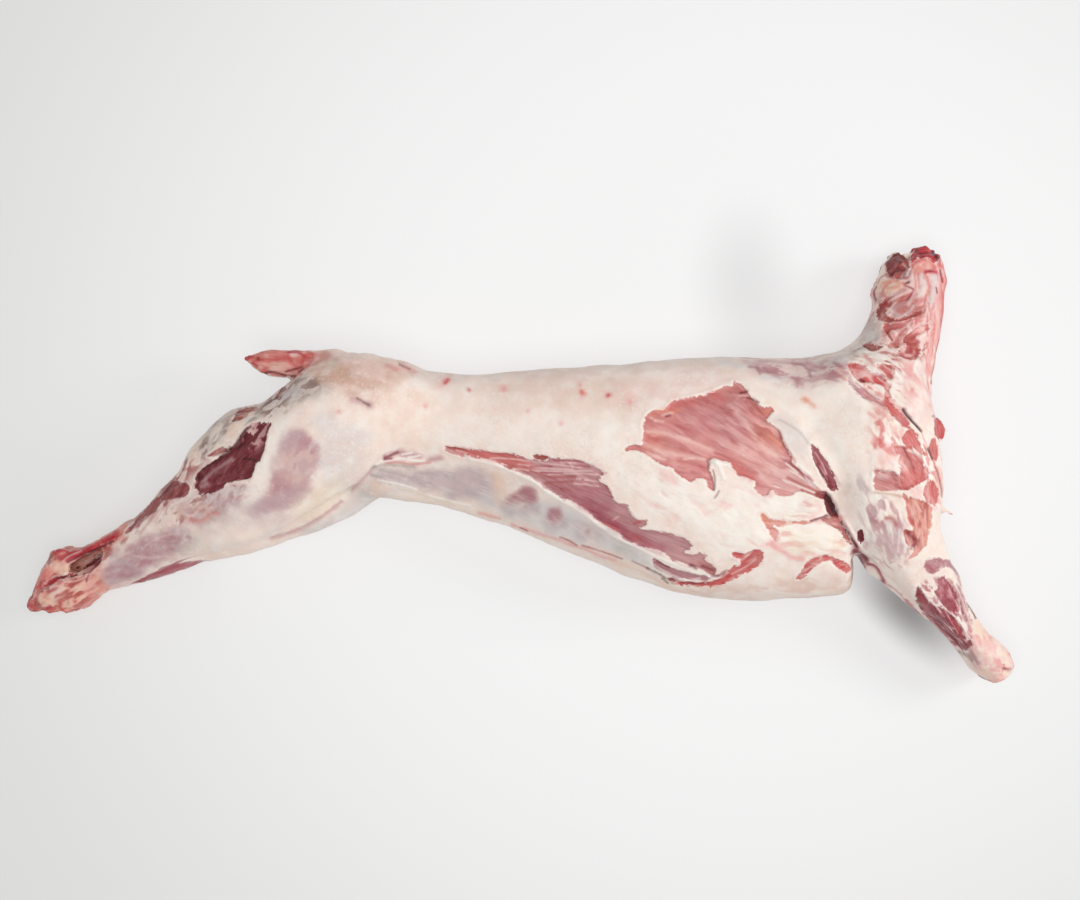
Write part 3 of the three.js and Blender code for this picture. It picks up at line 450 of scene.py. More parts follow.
MARBLINGS = (
    # the hock and the shank
    Marbling(Layer.BOTH, Tone.BRICK, Tone.PEACH, 0.15, 2.6, 4, 30, 0.8, 0.6, 5, ((24, 618), (34, 590),
        (52, 552), (112, 530), (124, 536), (108, 558), (90, 606), (60, 616))),
    Marbling(Layer.BOTH, Tone.CRIMSON, Tone.CORAL, 0.3, 2.2, 8, 28, 0.85, 0.5, 3, ((54, 552), (70, 549),
        (118, 530), (122, 538), (104, 548), (66, 562))),
    Marbling(Layer.BOTH, Tone.MAUVE, Tone.LILAC, 0.3, 3.5, 6, 32, 0.8, 0.4, 7, ((104, 580), (106, 560),
        (124, 548), (150, 536), (186, 530), (180, 552), (150, 566), (126, 582))),
    Marbling(Layer.BOTH, Tone.BROWN, Tone.SHELL, 0.5, 4, 4, 42, 0.9, 0.6, 7, ((118, 536), (128, 515),
        (172, 472), (196, 452), (208, 458), (190, 482), (130, 542))),
    Marbling(Layer.BOTH, Tone.BROWN, Tone.SHELL, -0.1, 3, 4, 42, 0.7, 0.6, 6, ((150, 520), (172, 500),
        (205, 480), (240, 478), (236, 500), (200, 520), (170, 528))),
    Marbling(Layer.BOTH, Tone.MAROON, Tone.CORAL, 0.3, 2.4, 3, 62, 0.8, 0.5, 4, ((22, 616), (26, 592),
        (42, 560), (52, 548), (60, 552), (38, 594), (34, 616))),
    Marbling(Layer.BOTH, Tone.MAUVE, Tone.LILAC, 0.3, 5, 3, 30, 0.6, 0.4, 8, ((172, 506), (186, 494),
        (222, 492), (246, 478), (246, 496), (226, 516), (206, 524), (186, 520))),
    # the thigh
    Marbling(Layer.BOTH, Tone.UMBER, Tone.PEACH, -0.1, 3.5, 3, 45, 0.6, 0.5, 6, ((186, 462), (208, 432),
        (232, 412), (262, 402), (252, 420), (205, 462))),
    Marbling(Layer.FLESH, Tone.MAROON, Tone.SHELL, -0.3, 2.2, 2, 60, 0.85, 0.5, 4, ((244, 424), (256, 414),
        (272, 416), (270, 436), (256, 450), (242, 446))),
    Marbling(Layer.FLESH, Tone.MAROON, Tone.WINE, 0.3, 3, 3, 45, 0.9, 0.4, 4, ((194, 484), (204, 456),
        (240, 440), (256, 452), (238, 470), (210, 486))),
    Marbling(Layer.BOTH, Tone.UMBER, Tone.LILAC, 0.15, 3.5, 2, 50, 0.7, 0.5, 7, ((258, 404), (278, 380),
        (300, 376), (318, 384), (292, 402), (268, 416))),
    Marbling(Layer.FAT, Tone.MAUVE, Tone.HAZE, 0.1, 5, 2, 60, 0.95, 0, 7, ((274, 470), (284, 442),
        (304, 434), (314, 448), (314, 476), (296, 498), (266, 506))),
    # the tail and the rump
    Marbling(Layer.BOTH, Tone.CORAL, Tone.SHELL, 0.1, 2.6, 4, -12, 0.75, 0.5, 4, ((246, 360), (256, 350),
        (290, 348), (312, 354), (300, 374), (282, 378), (258, 370))),
    Marbling(Layer.FAT, Tone.TAN, Tone.SHELL, 0.1, 6, 1.5, -20, 0.5, 0.3, 9, ((308, 352), (350, 350),
        (396, 364), (404, 380), (366, 392), (322, 384))),
    # the withers and the shoulder
    Marbling(Layer.FAT, Tone.MAUVE, Tone.SHELL, 0.3, 3, 7, -22, 0.8, 0.4, 6, ((742, 360), (770, 357),
        (840, 362), (848, 374), (826, 384), (796, 386), (768, 376))),
    Marbling(Layer.BOTH, Tone.CORAL, Tone.WHITE, -0.2, 2.6, 5, -38, 0.75, 0.5, 6, ((848, 362), (886, 362),
        (904, 382), (910, 420), (858, 386))),
    # the neck
    Marbling(Layer.BOTH, Tone.RED, Tone.SHELL, 0.25, 3.4, 5, 78, 0.85, 0.7, 4, ((908, 262), (925, 258),
        (940, 268), (941, 300), (936, 326), (918, 326), (906, 312), (911, 288))),
    Marbling(Layer.BOTH, Tone.CORAL, Tone.PEACH, 0.1, 3, 3.5, 18, 0.8, 0.5, 4, ((876, 278), (890, 274),
        (908, 280), (912, 298), (890, 302), (874, 308), (871, 290))),
    Marbling(Layer.BOTH, Tone.BRICK, Tone.SHELL, 0.7, 4, 3.5, 32, 0.85, 1, 4, ((880, 300), (904, 294),
        (926, 306), (924, 328), (890, 348), (880, 332), (876, 314))),
    Marbling(Layer.BOTH, Tone.BRICK, Tone.SHELL, 0.1, 3.4, 3, 50, 0.75, 0.8, 4, ((894, 332), (926, 320),
        (932, 344), (920, 362), (900, 360))),
    Marbling(Layer.BOTH, Tone.RED, Tone.PINK, 0.1, 2.2, 9, 85, 0.85, 0.4, 3, ((926, 300), (942, 268),
        (948, 276), (944, 330), (936, 384), (928, 388))),
    Marbling(Layer.BOTH, Tone.BRICK, Tone.IVORY, -0.1, 2.6, 4, -32, 0.75, 0.5, 5, ((856, 344), (884, 342),
        (902, 358), (898, 378), (856, 360))),
    Marbling(Layer.FAT, Tone.PINK, Tone.WHITE, -0.1, 4.5, 3, -65, 0.7, 0.4, 7, ((896, 362), (932, 360),
        (934, 410), (914, 404), (898, 384))),
    Marbling(Layer.BOTH, Tone.MAROON, Tone.CORAL, 0.35, 2.6, 3, 60, 0.9, 0.9, 3, ((884, 264), (888, 254),
        (898, 250), (910, 260), (909, 276), (898, 282), (887, 276))),
    Marbling(Layer.BOTH, Tone.MAROON, Tone.RED, 0, 3, 2, 40, 0.85, 0.8, 3, ((908, 262), (914, 248),
        (926, 242), (938, 252), (940, 262))),
    Marbling(Layer.FAT, Tone.BROWN, Tone.LILAC, -0.2, 4, 2.5, 72, 0.6, 0.5, 6, ((866, 330), (868, 300),
        (876, 280), (884, 290), (880, 330), (864, 350))),
    # the breast
    Marbling(Layer.FAT, Tone.CORAL, Tone.WHITE, -0.05, 3.2, 2.5, -62, 0.7, 0.5, 6, ((874, 404), (896, 408),
        (934, 444), (940, 500), (922, 500), (900, 492), (874, 470))),
    Marbling(Layer.FLESH, Tone.BRICK, Tone.SHELL, 0, 2.4, 5, -55, 0.6, 0.4, 4, ((894, 446), (922, 446),
        (932, 470), (928, 500), (900, 492))),
    Marbling(Layer.FLESH, Tone.BRICK, Tone.PALE_FIBRE, -0.1, 2.4, 6, -78, 0.6, 0.4, 4, ((904, 494),
        (932, 500), (932, 536), (912, 558), (902, 530))),
    Marbling(Layer.FAT, Tone.MAUVE, Tone.WHITE, 0.05, 3, 4, -72, 0.8, 0.4, 6, ((862, 500), (880, 496),
        (904, 520), (910, 556), (892, 566), (866, 556), (858, 530))),
    Marbling(Layer.FAT, Tone.LILAC, Tone.WHITE, 0, 4, 4, -78, 0.6, 0.3, 8, ((846, 480), (872, 470),
        (882, 500), (868, 540), (852, 516))),
    # the foreleg
    Marbling(Layer.BOTH, Tone.WINE, Tone.SHELL, 0.6, 2.2, 7, -58, 0.85, 0.4, 3, ((918, 590), (934, 578),
        (956, 584), (972, 624), (972, 646), (946, 642), (926, 618))),
    Marbling(Layer.FAT, Tone.PINK, Tone.CREAM, -0.1, 3.5, 2, -50, 0.8, 0.5, 5, ((968, 630), (984, 624),
        (1008, 644), (1018, 668), (1004, 688), (982, 682))),
    # the flank, the brisket and the belly
    Marbling(Layer.FLESH, Tone.BRICK, Tone.PALE_FIBRE, 0, 3, 12, -30, 0.35, 0.3, 6, ((630, 440), (660, 408),
        (740, 384), (826, 496), (760, 496))),
    Marbling(Layer.FLESH, Tone.RED, Tone.SHELL, -0.1, 2.2, 5, 25, 0.75, 0.3, 3, ((796, 578), (806, 560),
        (824, 552), (850, 566), (850, 574), (826, 564), (806, 578))),
    Marbling(Layer.FLESH, Tone.RED, Tone.SHELL, 0.3, 2.2, 6, 30, 0.6, 0.3, 3, ((668, 578), (700, 582),
        (728, 572), (750, 548), (766, 552), (756, 572), (712, 590), (672, 586))),
    Marbling(Layer.FAT, Tone.PINK, Tone.WHITE, -0.2, 3, 6, -8, 0.6, 0.5, 8, ((764, 500), (806, 498),
        (830, 510), (846, 548), (820, 554), (784, 548), (768, 526))),
    Marbling(Layer.FAT, Tone.PINK, Tone.WHITE, -0.3, 4, 3, -30, 0.45, 0.5, 12, ((620, 470), (700, 484),
        (762, 500), (762, 552), (700, 530), (650, 508))),
    Marbling(Layer.FAT, Tone.BLUSH, Tone.WHITE, 0, 6, 2.5, -12, 0.5, 0.3, 9, ((690, 590), (760, 584),
        (850, 572), (852, 592), (760, 604), (700, 602))),
)

STROKES = (
    # the hock, its tendon and the gap beside it
    Strokes(Tone.RED, 3.2, 0.75, 0.8, (((62, 560), (72, 555), (84, 551), (117, 535)),)),
    Strokes(Tone.CRIMSON, 2, 0.85, 0.3, (((68, 559), (76, 555), (98, 546)), ((104, 542), (114, 537)),
        ((55, 553), (60, 550), (68, 549)))),
    # dark red lines; the first is also the tendon's painted shadow along the upper side of the gap
    Strokes(Tone.MAROON, 1.1, 0.9, -0.8, (((68, 562), (86, 553), (96, 550), (113, 541)), ((100, 557),
        (97, 564), (91, 571), (86, 581)))),
    Strokes(Tone.SHELL, 1, 0.7, 0.3, (((60, 548), (72, 549), (84, 547), (112, 532)), ((48, 556), (42, 570),
        (36, 580), (32, 592)), ((62, 562), (70, 556), (82, 551)), ((64, 582), (76, 581), (86, 577)),
        ((88, 583), (90, 575), (97, 566)))),
    Strokes(Tone.CRIMSON, 2.2, 0.75, -0.6, (((51, 582), (55, 580)), ((44, 610), (50, 607)), ((27, 606),))),
    Strokes(Tone.RED, 2, 0.75, 0.4, (((30, 596), (29, 602), (33, 607), (40, 611), (50, 612), (54, 609)),
        ((61, 603), (61, 608), (65, 612), (70, 611)), ((75, 601),), ((60, 602),), ((37, 588), (50, 580)))),
    Strokes(Tone.PINK, 4, 0.5, 0, (((92, 577), (88, 592), (96, 598)), ((46, 564), (40, 580)), ((70, 612),
        (96, 602), (114, 590)))),
    Strokes(None, 2.2, 0, -1.8, (((56, 606), (56, 614)), ((40, 590), (50, 583)))),
    # the shank
    Strokes(Tone.MAUVE, 2.6, 0.55, 0, (((142, 554), (158, 553), (174, 548)), ((106, 570), (120, 566),
        (134, 569)), ((130, 561), (150, 562)), ((106, 577), (124, 576), (140, 571)))),
    Strokes(Tone.PLUM, 3, 0.4, 0, (((108, 553), (118, 550)), ((116, 572), (132, 572)), ((160, 541),
        (176, 538)))),
    Strokes(Tone.SHELL, 1.2, 0.6, 0.5, (((134, 556), (150, 558), (166, 556)), ((145, 546), (158, 538),
        (176, 533)), ((120, 585), (140, 577), (160, 568), (184, 561)), ((104, 563), (128, 553)))),
    Strokes(Tone.RASPBERRY, 1.4, 0.7, -0.4, (((140, 581), (152, 576), (164, 570), (178, 565)),)),
    Strokes(Tone.HAZE, 1.6, 0.6, 0, (((150, 580), (168, 575), (190, 567)), ((186, 563), (206, 561)))),
    Strokes(Tone.MAROON, 2.2, 0.65, -0.4, (((164, 492), (170, 487), (178, 484)), ((162, 497), (168, 492)),
        ((176, 497), (182, 493)))),
    # the thigh
    # a pale raised band along the thigh muscle, painted as its highlight
    Strokes(Tone.MIST, 2.4, 0.5, 0.9, (((203, 481), (211, 473), (220, 466), (231, 459)), ((202, 487),
        (207, 484)))),
    # painted shade in the grooves round the thigh muscle
    Strokes(Tone.INK, 1.1, 0.7, -0.6, (((197, 479), (203, 469), (215, 461), (224, 454), (230, 447)),
        ((234, 446), (242, 432), (250, 426)), ((241, 458), (255, 460)), ((244, 434), (243, 443)),
        ((236, 449), (241, 443)))),
    Strokes(Tone.MAROON, 2, 0.7, 0, (((196, 484), (199, 491)), ((219, 487), (214, 491)))),
    Strokes(Tone.CORAL, 2.2, 0.6, 0, (((191, 519), (198, 521), (204, 519), (210, 514), (218, 513)),)),
    Strokes(Tone.MAUVE, 4, 0.5, 0, (((352, 399), (360, 401), (369, 405)), ((257, 513),))),
    # the second and third lines are painted shade in the gap between the near and the far thigh
    Strokes(Tone.UMBER, 1.2, 0.65, -0.5, (((357, 398), (369, 405)), ((271, 400), (261, 409)), ((256, 414),
        (261, 410)), ((400, 364), (410, 368)))),
    Strokes(Tone.BRICK, 1.4, 0.5, 0, (((184, 470), (191, 467), (197, 467)), ((240, 411), (248, 411)))),
    Strokes(Tone.WHITE, 1.6, 0.6, 0.8, (((396, 449), (385, 458), (360, 482), (347, 493), (337, 503)),)),
    # the first line is a painted shade under the thigh's front edge
    Strokes(Tone.MAUVE, 2, 0.5, -1.4, (((341, 502), (330, 511), (303, 528), (288, 534), (272, 538)),
        ((375, 468), (352, 490)))),
    # the tail
    Strokes(Tone.PINK, 3.5, 0.4, 0, (((262, 356), (280, 354)), ((288, 362), (289, 370)))),
    Strokes(Tone.CRIMSON, 1.5, 0.75, 0, (((247, 359), (252, 356)), ((253, 363), (257, 366)), ((288, 352),
        (297, 352), (304, 356)))),
    Strokes(Tone.RED, 2.2, 0.65, 0, (((258, 360), (275, 360), (288, 357)), ((263, 370), (267, 368)),
        ((289, 358), (294, 364)), ((303, 359), (302, 366)), ((308, 354), (315, 355)))),
    Strokes(Tone.TAN, 2, 0.65, 0.5, (((294, 361),), ((300, 357),), ((272, 365), (284, 364)))),
    Strokes(Tone.MAROON, 1.2, 0.75, -0.5, (((262, 375), (270, 372), (279, 374), (288, 377), (295, 376)),
        ((286, 372), (301, 367)), ((299, 372), (303, 369)), ((258, 359),))),
    Strokes(Tone.ROSE, 3.5, 0.5, 0, (((306, 366), (314, 358), (324, 354)), ((316, 362), (330, 356)),
        ((388, 366), (396, 369)), ((404, 366), (414, 372)))),
    # the back
    Strokes(Tone.PINK, 4.2, 0.45, 0, (((442, 385), (449, 379)), ((504, 389),), ((608, 395),), ((630, 402),),
        ((583, 393),))),
    Strokes(Tone.RED, 2, 0.8, -0.4, (((445, 383), (448, 380)), ((469, 390),), ((608, 395),),
        ((582, 392),))),
    Strokes(Tone.PINK, 2.2, 0.7, -0.3, (((504, 389),), ((425, 406),), ((528, 411),), ((561, 424),),
        ((869, 413), (875, 417)), ((630, 402),), ((580, 385),), ((339, 411),))),
    Strokes(Tone.SALMON, 2.6, 0.55, 0, (((581, 391), (585, 394)), ((804, 399), (814, 406)))),
    # the groin and the belly
    Strokes(Tone.MAUVE, 3, 0.6, 0, (((386, 457), (393, 453), (402, 453)), ((404, 456), (412, 455),
        (420, 457)), ((430, 460), (440, 458)))),
    Strokes(Tone.MAROON, 1.5, 0.6, -0.4, (((385, 458), (398, 453)), ((385, 460), (391, 459)))),
    Strokes(Tone.WHITE, 1, 0.85, 0.6, (((382, 462), (392, 461), (401, 459), (412, 461), (424, 462)),
        ((402, 455), (412, 453)), ((408, 458), (420, 456)), ((378, 480), (404, 486), (416, 490)),
        ((430, 496), (470, 505)))),
    Strokes(Tone.ROSE, 1.8, 0.6, 0, (((386, 464), (398, 463), (412, 465), (430, 463)),)),
    # grey-brown lines in the groin's folds; the second is a painted shade deep in the fold
    Strokes(Tone.STONE, 1.8, 0.5, -0.6, (((374, 469), (385, 466), (414, 468)), ((380, 471), (404, 477)),
        ((372, 476), (380, 478)))),
    Strokes(Tone.HAZE, 5, 0.5, 0, (((462, 476), (476, 482)), ((588, 531),), ((440, 482), (460, 488)))),
    Strokes(Tone.VIOLET, 3.4, 0.5, 0, (((526, 507),), ((588, 532),), ((554, 524),))),
    Strokes(Tone.CREAM, 1.6, 0.6, 0.5, (((400, 488), (420, 493), (440, 500), (462, 506)), ((478, 511),
        (492, 516), (510, 521)))),
    Strokes(Tone.PINK, 1.8, 0.65, 0.5, (((480, 513), (500, 518)), ((512, 525), (564, 541)), ((566, 543),
        (584, 548), (600, 556), (616, 560)))),
    Strokes(Tone.BROWN, 0.9, 0.6, -0.4, (((560, 537), (569, 540), (577, 545)), ((582, 545), (622, 559)),
        ((520, 528), (527, 531)), ((632, 561), (648, 569)))),
    Strokes(Tone.PEACH, 2.4, 0.6, 0.4, (((612, 561), (628, 566), (642, 572), (670, 588), (684, 594)),)),
    Strokes(Tone.UMBER, 1.1, 0.7, -0.7, (((647, 569), (656, 573), (672, 582)), ((662, 579), (668, 583)))),
    Strokes(Tone.CORAL, 4, 0.6, 0, (((456, 451), (476, 454), (500, 459), (515, 463)),)),
    Strokes(Tone.BRICK, 1.6, 0.7, -0.3, (((448, 448), (467, 450)), ((505, 467), (514, 469)), ((536, 456),
        (545, 457)))),
    Strokes(Tone.SHELL, 0.9, 0.8, 0.5, (((490, 459), (515, 460), (580, 468)), ((518, 465), (548, 469),
        (572, 470)), ((512, 469), (545, 472), (592, 471)), ((548, 475), (575, 474), (600, 475)),
        ((574, 484), (586, 485), (598, 487)), ((560, 463), (575, 463)), ((576, 479), (598, 482)),
        ((456, 451), (466, 454)), ((569, 463), (572, 468)), ((618, 517), (612, 521)))),
    Strokes(Tone.RASPBERRY, 0.9, 0.7, -0.3, (((553, 461), (568, 461), (583, 462)), ((530, 467), (552, 467)),
        ((540, 473), (562, 474)), ((575, 466), (590, 467)), ((604, 485), (609, 490), (612, 497)))),
    Strokes(Tone.BRICK, 1.3, 0.55, -0.3, (((530, 471), (548, 478), (575, 477)), ((545, 484), (572, 482)),
        ((560, 489), (570, 492)), ((600, 474), (606, 473)))),
    Strokes(Tone.RASPBERRY, 4.5, 0.55, 0, (((582, 506), (600, 516), (620, 530), (642, 543), (660, 550)),)),
    Strokes(Tone.HAZE, 4, 0.35, 0, (((652, 538), (668, 541), (684, 546)), ((594, 466), (602, 472)),
        ((600, 498), (612, 502)))),
    Strokes(Tone.RED, 1.6, 0.6, 0, (((634, 524), (640, 522)), ((632, 536), (640, 540)), ((604, 524),
        (616, 530)))),
    Strokes(Tone.WHITE, 1.6, 0.75, 0.9, (((470, 459), (492, 464), (510, 471), (535, 482), (555, 497),
        (580, 511), (600, 526), (622, 540), (670, 563), (700, 574)),)),
    Strokes(Tone.MAROON, 1.4, 0.65, -0.4, (((657, 562), (668, 568)), ((702, 567), (713, 571)), ((690, 566),
        (696, 568)), ((672, 579), (690, 584), (708, 584)), ((712, 577), (720, 575), (727, 571)))),
    Strokes(Tone.WHITE, 0.9, 0.7, 0.4, (((656, 559), (668, 566), (682, 569)), ((652, 564), (664, 572),
        (680, 579)), ((708, 577), (720, 579), (728, 573)), ((676, 582), (700, 579)))),
    Strokes(Tone.RED, 2.2, 0.55, 0, (((700, 585), (716, 584), (730, 577), (742, 567)), ((736, 556),
        (744, 558)), ((840, 567), (848, 570)), ((744, 563), (748, 566)))),
    Strokes(Tone.SHELL, 1.1, 0.7, 0.4, (((733, 558), (742, 560), (748, 555)), ((732, 575), (745, 568),
        (756, 560)))),
    # the breast behind the arm
    Strokes(Tone.PINK, 2.6, 0.65, 0, (((773, 532), (778, 538), (772, 543), (777, 549), (785, 553),
        (792, 558), (802, 559)), ((768, 544), (775, 547)))),
    Strokes(Tone.ORANGE, 2.8, 0.6, 0, (((763, 515), (766, 520)), ((806, 400),))),
    Strokes(Tone.MAROON, 1.3, 0.85, -1.2, (((811, 521), (827, 516), (836, 514)),)),
    Strokes(Tone.SHELL, 2, 0.6, 0.5, (((814, 516), (821, 511)), ((824, 522), (836, 524)))),
    # painted shade deep in the armpit's fold
    Strokes(Tone.INK, 2.6, 0.85, -2.2, (((828, 497), (836, 511)),)),
    # the flank"s own streaks and its torn edge
    Strokes(Tone.CORAL, 3.6, 0.6, 0, (((671, 407), (680, 404), (692, 402)), ((712, 393), (722, 399)),
        ((734, 465), (744, 473), (752, 478)), ((648, 438), (656, 440)))),
    Strokes(Tone.ORANGE, 2.6, 0.45, 0.3, (((651, 416), (658, 412), (668, 410)), ((674, 412), (680, 409)),
        ((764, 411), (770, 410)), ((768, 436), (780, 444)))),
    Strokes(Tone.PALE_FIBRE, 2.6, 0.6, 0, (((647, 431), (665, 433), (690, 441), (712, 450)), ((656, 450),
        (680, 455), (704, 459)), ((736, 412), (746, 422), (756, 438)), ((760, 444), (776, 456)),
        ((648, 455), (664, 458)))),
    Strokes(Tone.PALE_FIBRE, 1.2, 0.7, 0.4, (((655, 420), (663, 421)), ((650, 417), (655, 420)),
        ((662, 415), (672, 412)), ((740, 395), (748, 395)), ((744, 399),), ((684, 459), (694, 458)))),
    Strokes(Tone.MAROON, 1.1, 0.75, -0.6, (((666, 416), (670, 415)), ((740, 392), (747, 391)), ((747, 397),
        (753, 399), (758, 402)), ((816, 494), (824, 497)))),
    Strokes(Tone.BRICK, 1.4, 0.5, -0.3, (((784, 443), (795, 462)), ((749, 399), (758, 408)), ((779, 431),
        (781, 438)), ((692, 472), (700, 474)))),
    Strokes(Tone.RASPBERRY, 1.6, 0.7, -0.3, (((797, 469), (812, 481)), ((786, 461), (794, 467)))),
    Strokes(Tone.BRICK, 1.3, 0.7, -0.3, (((788, 478), (820, 494)), ((802, 490), (812, 494), (822, 497)))),
    Strokes(Tone.WHITE, 0.9, 0.8, 0.6, (((790, 470), (815, 487)), ((783, 480), (815, 493)), ((786, 463),
        (798, 473)), ((800, 466), (811, 475)), ((804, 492), (812, 497)))),
    Strokes(Tone.PINK, 1.8, 0.6, 0, (((762, 484), (767, 482), (771, 486), (765, 489)), ((772, 493),
        (781, 491), (791, 493)), ((757, 490), (763, 495), (770, 496)))),
    # painted shade beside the raised white flap of fat at the flank's notch
    Strokes(Tone.UMBER, 0.9, 0.65, -0.5, (((710, 460), (709, 466)), ((713, 470), (715, 480), (714, 490)),
        ((719, 491), (715, 498)))),
    Strokes(Tone.WHITE, 2.4, 0.8, 1.2, (((716, 463), (720, 468), (724, 478)), ((715, 462), (728, 466)))),
    # a painted shadow line along the upper side of the pale band at the flank's edge
    Strokes(Tone.GREY, 1.3, 0.6, 0.8, (((780, 420), (792, 427), (801, 434), (809, 444)),)),
    Strokes(Tone.SHELL, 0.8, 0.7, 0.4, (((816, 452), (823, 464), (827, 475)), ((820, 466), (828, 480)))),
    Strokes(Tone.MAROON, 1.2, 0.65, -0.4, (((818, 464), (824, 477), (831, 489)), ((827, 476), (833, 488)))),
    Strokes(Tone.HAZE, 1.6, 0.6, 0, (((835, 475), (839, 484)),)),
    # the withers and the shoulder
    Strokes(Tone.VIOLET, 1.8, 0.75, -0.3, (((749, 366), (757, 367), (763, 371), (776, 371)), ((757, 367),
        (760, 373)), ((792, 363), (801, 364), (808, 369), (815, 370)), ((834, 363), (841, 366)),
        ((764, 367), (768, 371)), ((809, 372), (810, 376)))),
    Strokes(Tone.MAUVE, 2.6, 0.6, 0, (((793, 377), (797, 382), (802, 384)), ((758, 369), (772, 370)),
        ((798, 378), (797, 386)), ((806, 362), (815, 366), (824, 368)))),
    Strokes(Tone.ROSE, 1.2, 0.6, 0, (((745, 358), (764, 357), (786, 359)), ((836, 372), (842, 378),
        (849, 381)), ((838, 369), (848, 374)))),
    Strokes(Tone.MIST, 3, 0.6, 0.3, (((720, 362), (743, 366)), ((760, 377), (784, 379)))),
    Strokes(Tone.RED, 2.4, 0.6, 0, (((850, 366), (862, 368)), ((882, 366), (890, 372)), ((886, 402),
        (888, 408)), ((874, 378), (884, 384)))),
    Strokes(Tone.MAROON, 1.5, 0.9, -0.8, (((861, 379), (864, 381)),)),
    Strokes(Tone.SHELL, 1, 0.8, 0.5, (((878, 377), (886, 383), (892, 386)), ((868, 364), (874, 371)),
        ((851, 380), (860, 390), (872, 398)), ((858, 386), (880, 399)), ((866, 384), (876, 388),
        (883, 396)), ((893, 367), (895, 378)))),
    Strokes(Tone.VIOLET, 1, 0.6, -0.3, (((849, 378), (857, 388), (868, 397)), ((856, 383), (866, 391),
        (878, 402)), ((876, 371), (883, 378)))),
    Strokes(Tone.ROSE, 3, 0.55, 0, (((862, 392), (874, 400), (884, 404)), ((885, 402), (888, 412)),
        ((900, 412), (906, 422)))),
    Strokes(Tone.CORAL, 1.8, 0.75, -0.3, (((882, 430), (880, 441), (884, 446)), ((879, 439), (884, 445)))),
    Strokes(Tone.PINK, 2.4, 0.6, 0, (((884, 444), (898, 451)), ((905, 377), (915, 381), (924, 387),
        (930, 394)))),
    # painted shade in the slits of the breast
    Strokes(Tone.INK, 1.4, 0.9, -1.8, (((903, 409), (908, 416), (921, 431)), ((929, 449), (933, 458)))),
    Strokes(Tone.ROSE, 1.1, 0.5, -0.6, (((921, 431), (923, 438), (928, 448)),)),
    Strokes(Tone.RED, 1.3, 0.7, -0.4, (((933, 458), (936, 467)), ((936, 434), (941, 438)))),
    Strokes(Tone.BROWN, 1, 0.65, -0.5, (((937, 468), (940, 478), (942, 490), (942, 497)), ((933, 416),
        (937, 419)), ((904, 449), (910, 459), (914, 469)))),
    Strokes(Tone.BRICK, 1.8, 0.6, -0.3, (((896, 487), (905, 489), (913, 486)), ((904, 452), (911, 461),
        (914, 468)), ((893, 475), (898, 483)), ((875, 471), (884, 472)))),
    Strokes(Tone.WHITE, 1.4, 0.85, 0.9, (((908, 450), (916, 454), (923, 459), (927, 467)),)),
    Strokes(Tone.PALE_FIBRE, 1, 0.7, 0.3, (((900, 462), (906, 467)), ((897, 474), (903, 478)), ((880, 474),
        (888, 477)), ((908, 505), (916, 520)), ((913, 500), (922, 512)), ((926, 510), (926, 530)),
        ((920, 530), (916, 548)), ((906, 537), (911, 545)), ((912, 494), (920, 497)))),
    Strokes(Tone.MAUVE, 1.3, 0.65, -0.3, (((891, 474), (897, 484)), ((894, 472), (899, 480)))),
    Strokes(Tone.TAN, 1.4, 0.6, 0.3, (((875, 492), (890, 494), (903, 497), (909, 502)),)),
    Strokes(Tone.CORAL, 1.6, 0.6, -0.2, (((907, 508), (910, 516), (914, 524)), ((909, 518), (915, 528)),
        ((903, 497), (909, 502)))),
    Strokes(Tone.MAROON, 1.8, 0.5, -0.5, (((909, 534), (914, 539), (918, 541)), ((911, 548), (916, 544)))),
    Strokes(Tone.BRICK, 2.2, 0.65, -0.3, (((886, 518), (892, 519), (896, 525)),)),
    Strokes(Tone.WHITE, 1.2, 0.6, 0.3, (((891, 524), (893, 544)), ((899, 530), (898, 552)), ((903, 534),
        (905, 552)))),
    # the arm"s edges and the forearm
    Strokes(Tone.BRICK, 2.2, 0.75, -0.8, (((840, 517), (857, 548)),)),
    # painted shade in the cleft between the arm and the chest
    Strokes(Tone.INK, 1, 0.85, -1, (((842, 522), (849, 535), (857, 547)),)),
    Strokes(Tone.WHITE, 1.2, 0.7, 0.7, (((845, 520), (860, 545)),)),
    # dark painted shade in the hollow where the arm's lower edge meets the chest
    Strokes(Tone.MAROON, 3.2, 0.9, -1.5, (((854, 551), (860, 554), (866, 560)),)),
    Strokes(Tone.WINE, 1.5, 0.85, -0.6, (((867, 564), (876, 567), (885, 583), (900, 596), (921, 617)),)),
    Strokes(Tone.SHELL, 2, 0.5, 0.3, (((923, 614), (934, 627), (947, 640), (960, 650)),)),
    Strokes(Tone.RASPBERRY, 2.6, 0.65, -0.2, (((927, 566), (933, 570)), ((952, 600), (956, 611)))),
    Strokes(Tone.VIOLET, 1.4, 0.6, 0, (((950, 563), (955, 572), (961, 586)), ((958, 586), (963, 598),
        (967, 610)), ((962, 603), (966, 618)), ((936, 594), (941, 602)))),
    Strokes(Tone.WHITE, 1.1, 0.75, 0.7, (((934, 594), (941, 604), (949, 612), (958, 619), (963, 628),
        (968, 640)), ((955, 586), (962, 598), (971, 628)), ((922, 589), (929, 599), (938, 609),
        (944, 617)))),
    Strokes(Tone.SHELL, 0.8, 0.75, 0.4, (((944, 608), (958, 634)), ((936, 605), (952, 633)), ((929, 603),
        (938, 620)), ((952, 612), (960, 626)))),
    Strokes(Tone.MAROON, 1.5, 0.55, -0.4, (((930, 605), (940, 626)), ((942, 614), (948, 626)), ((918, 594),
        (922, 604)), ((954, 641), (964, 646)))),
    Strokes(Tone.RED, 2, 0.5, 0, (((951, 620), (957, 628), (962, 637)), ((920, 596), (926, 610)))),
    Strokes(Tone.UMBER, 1.1, 0.75, -0.4, (((960, 574), (966, 589), (970, 604), (975, 618)), ((979, 678),
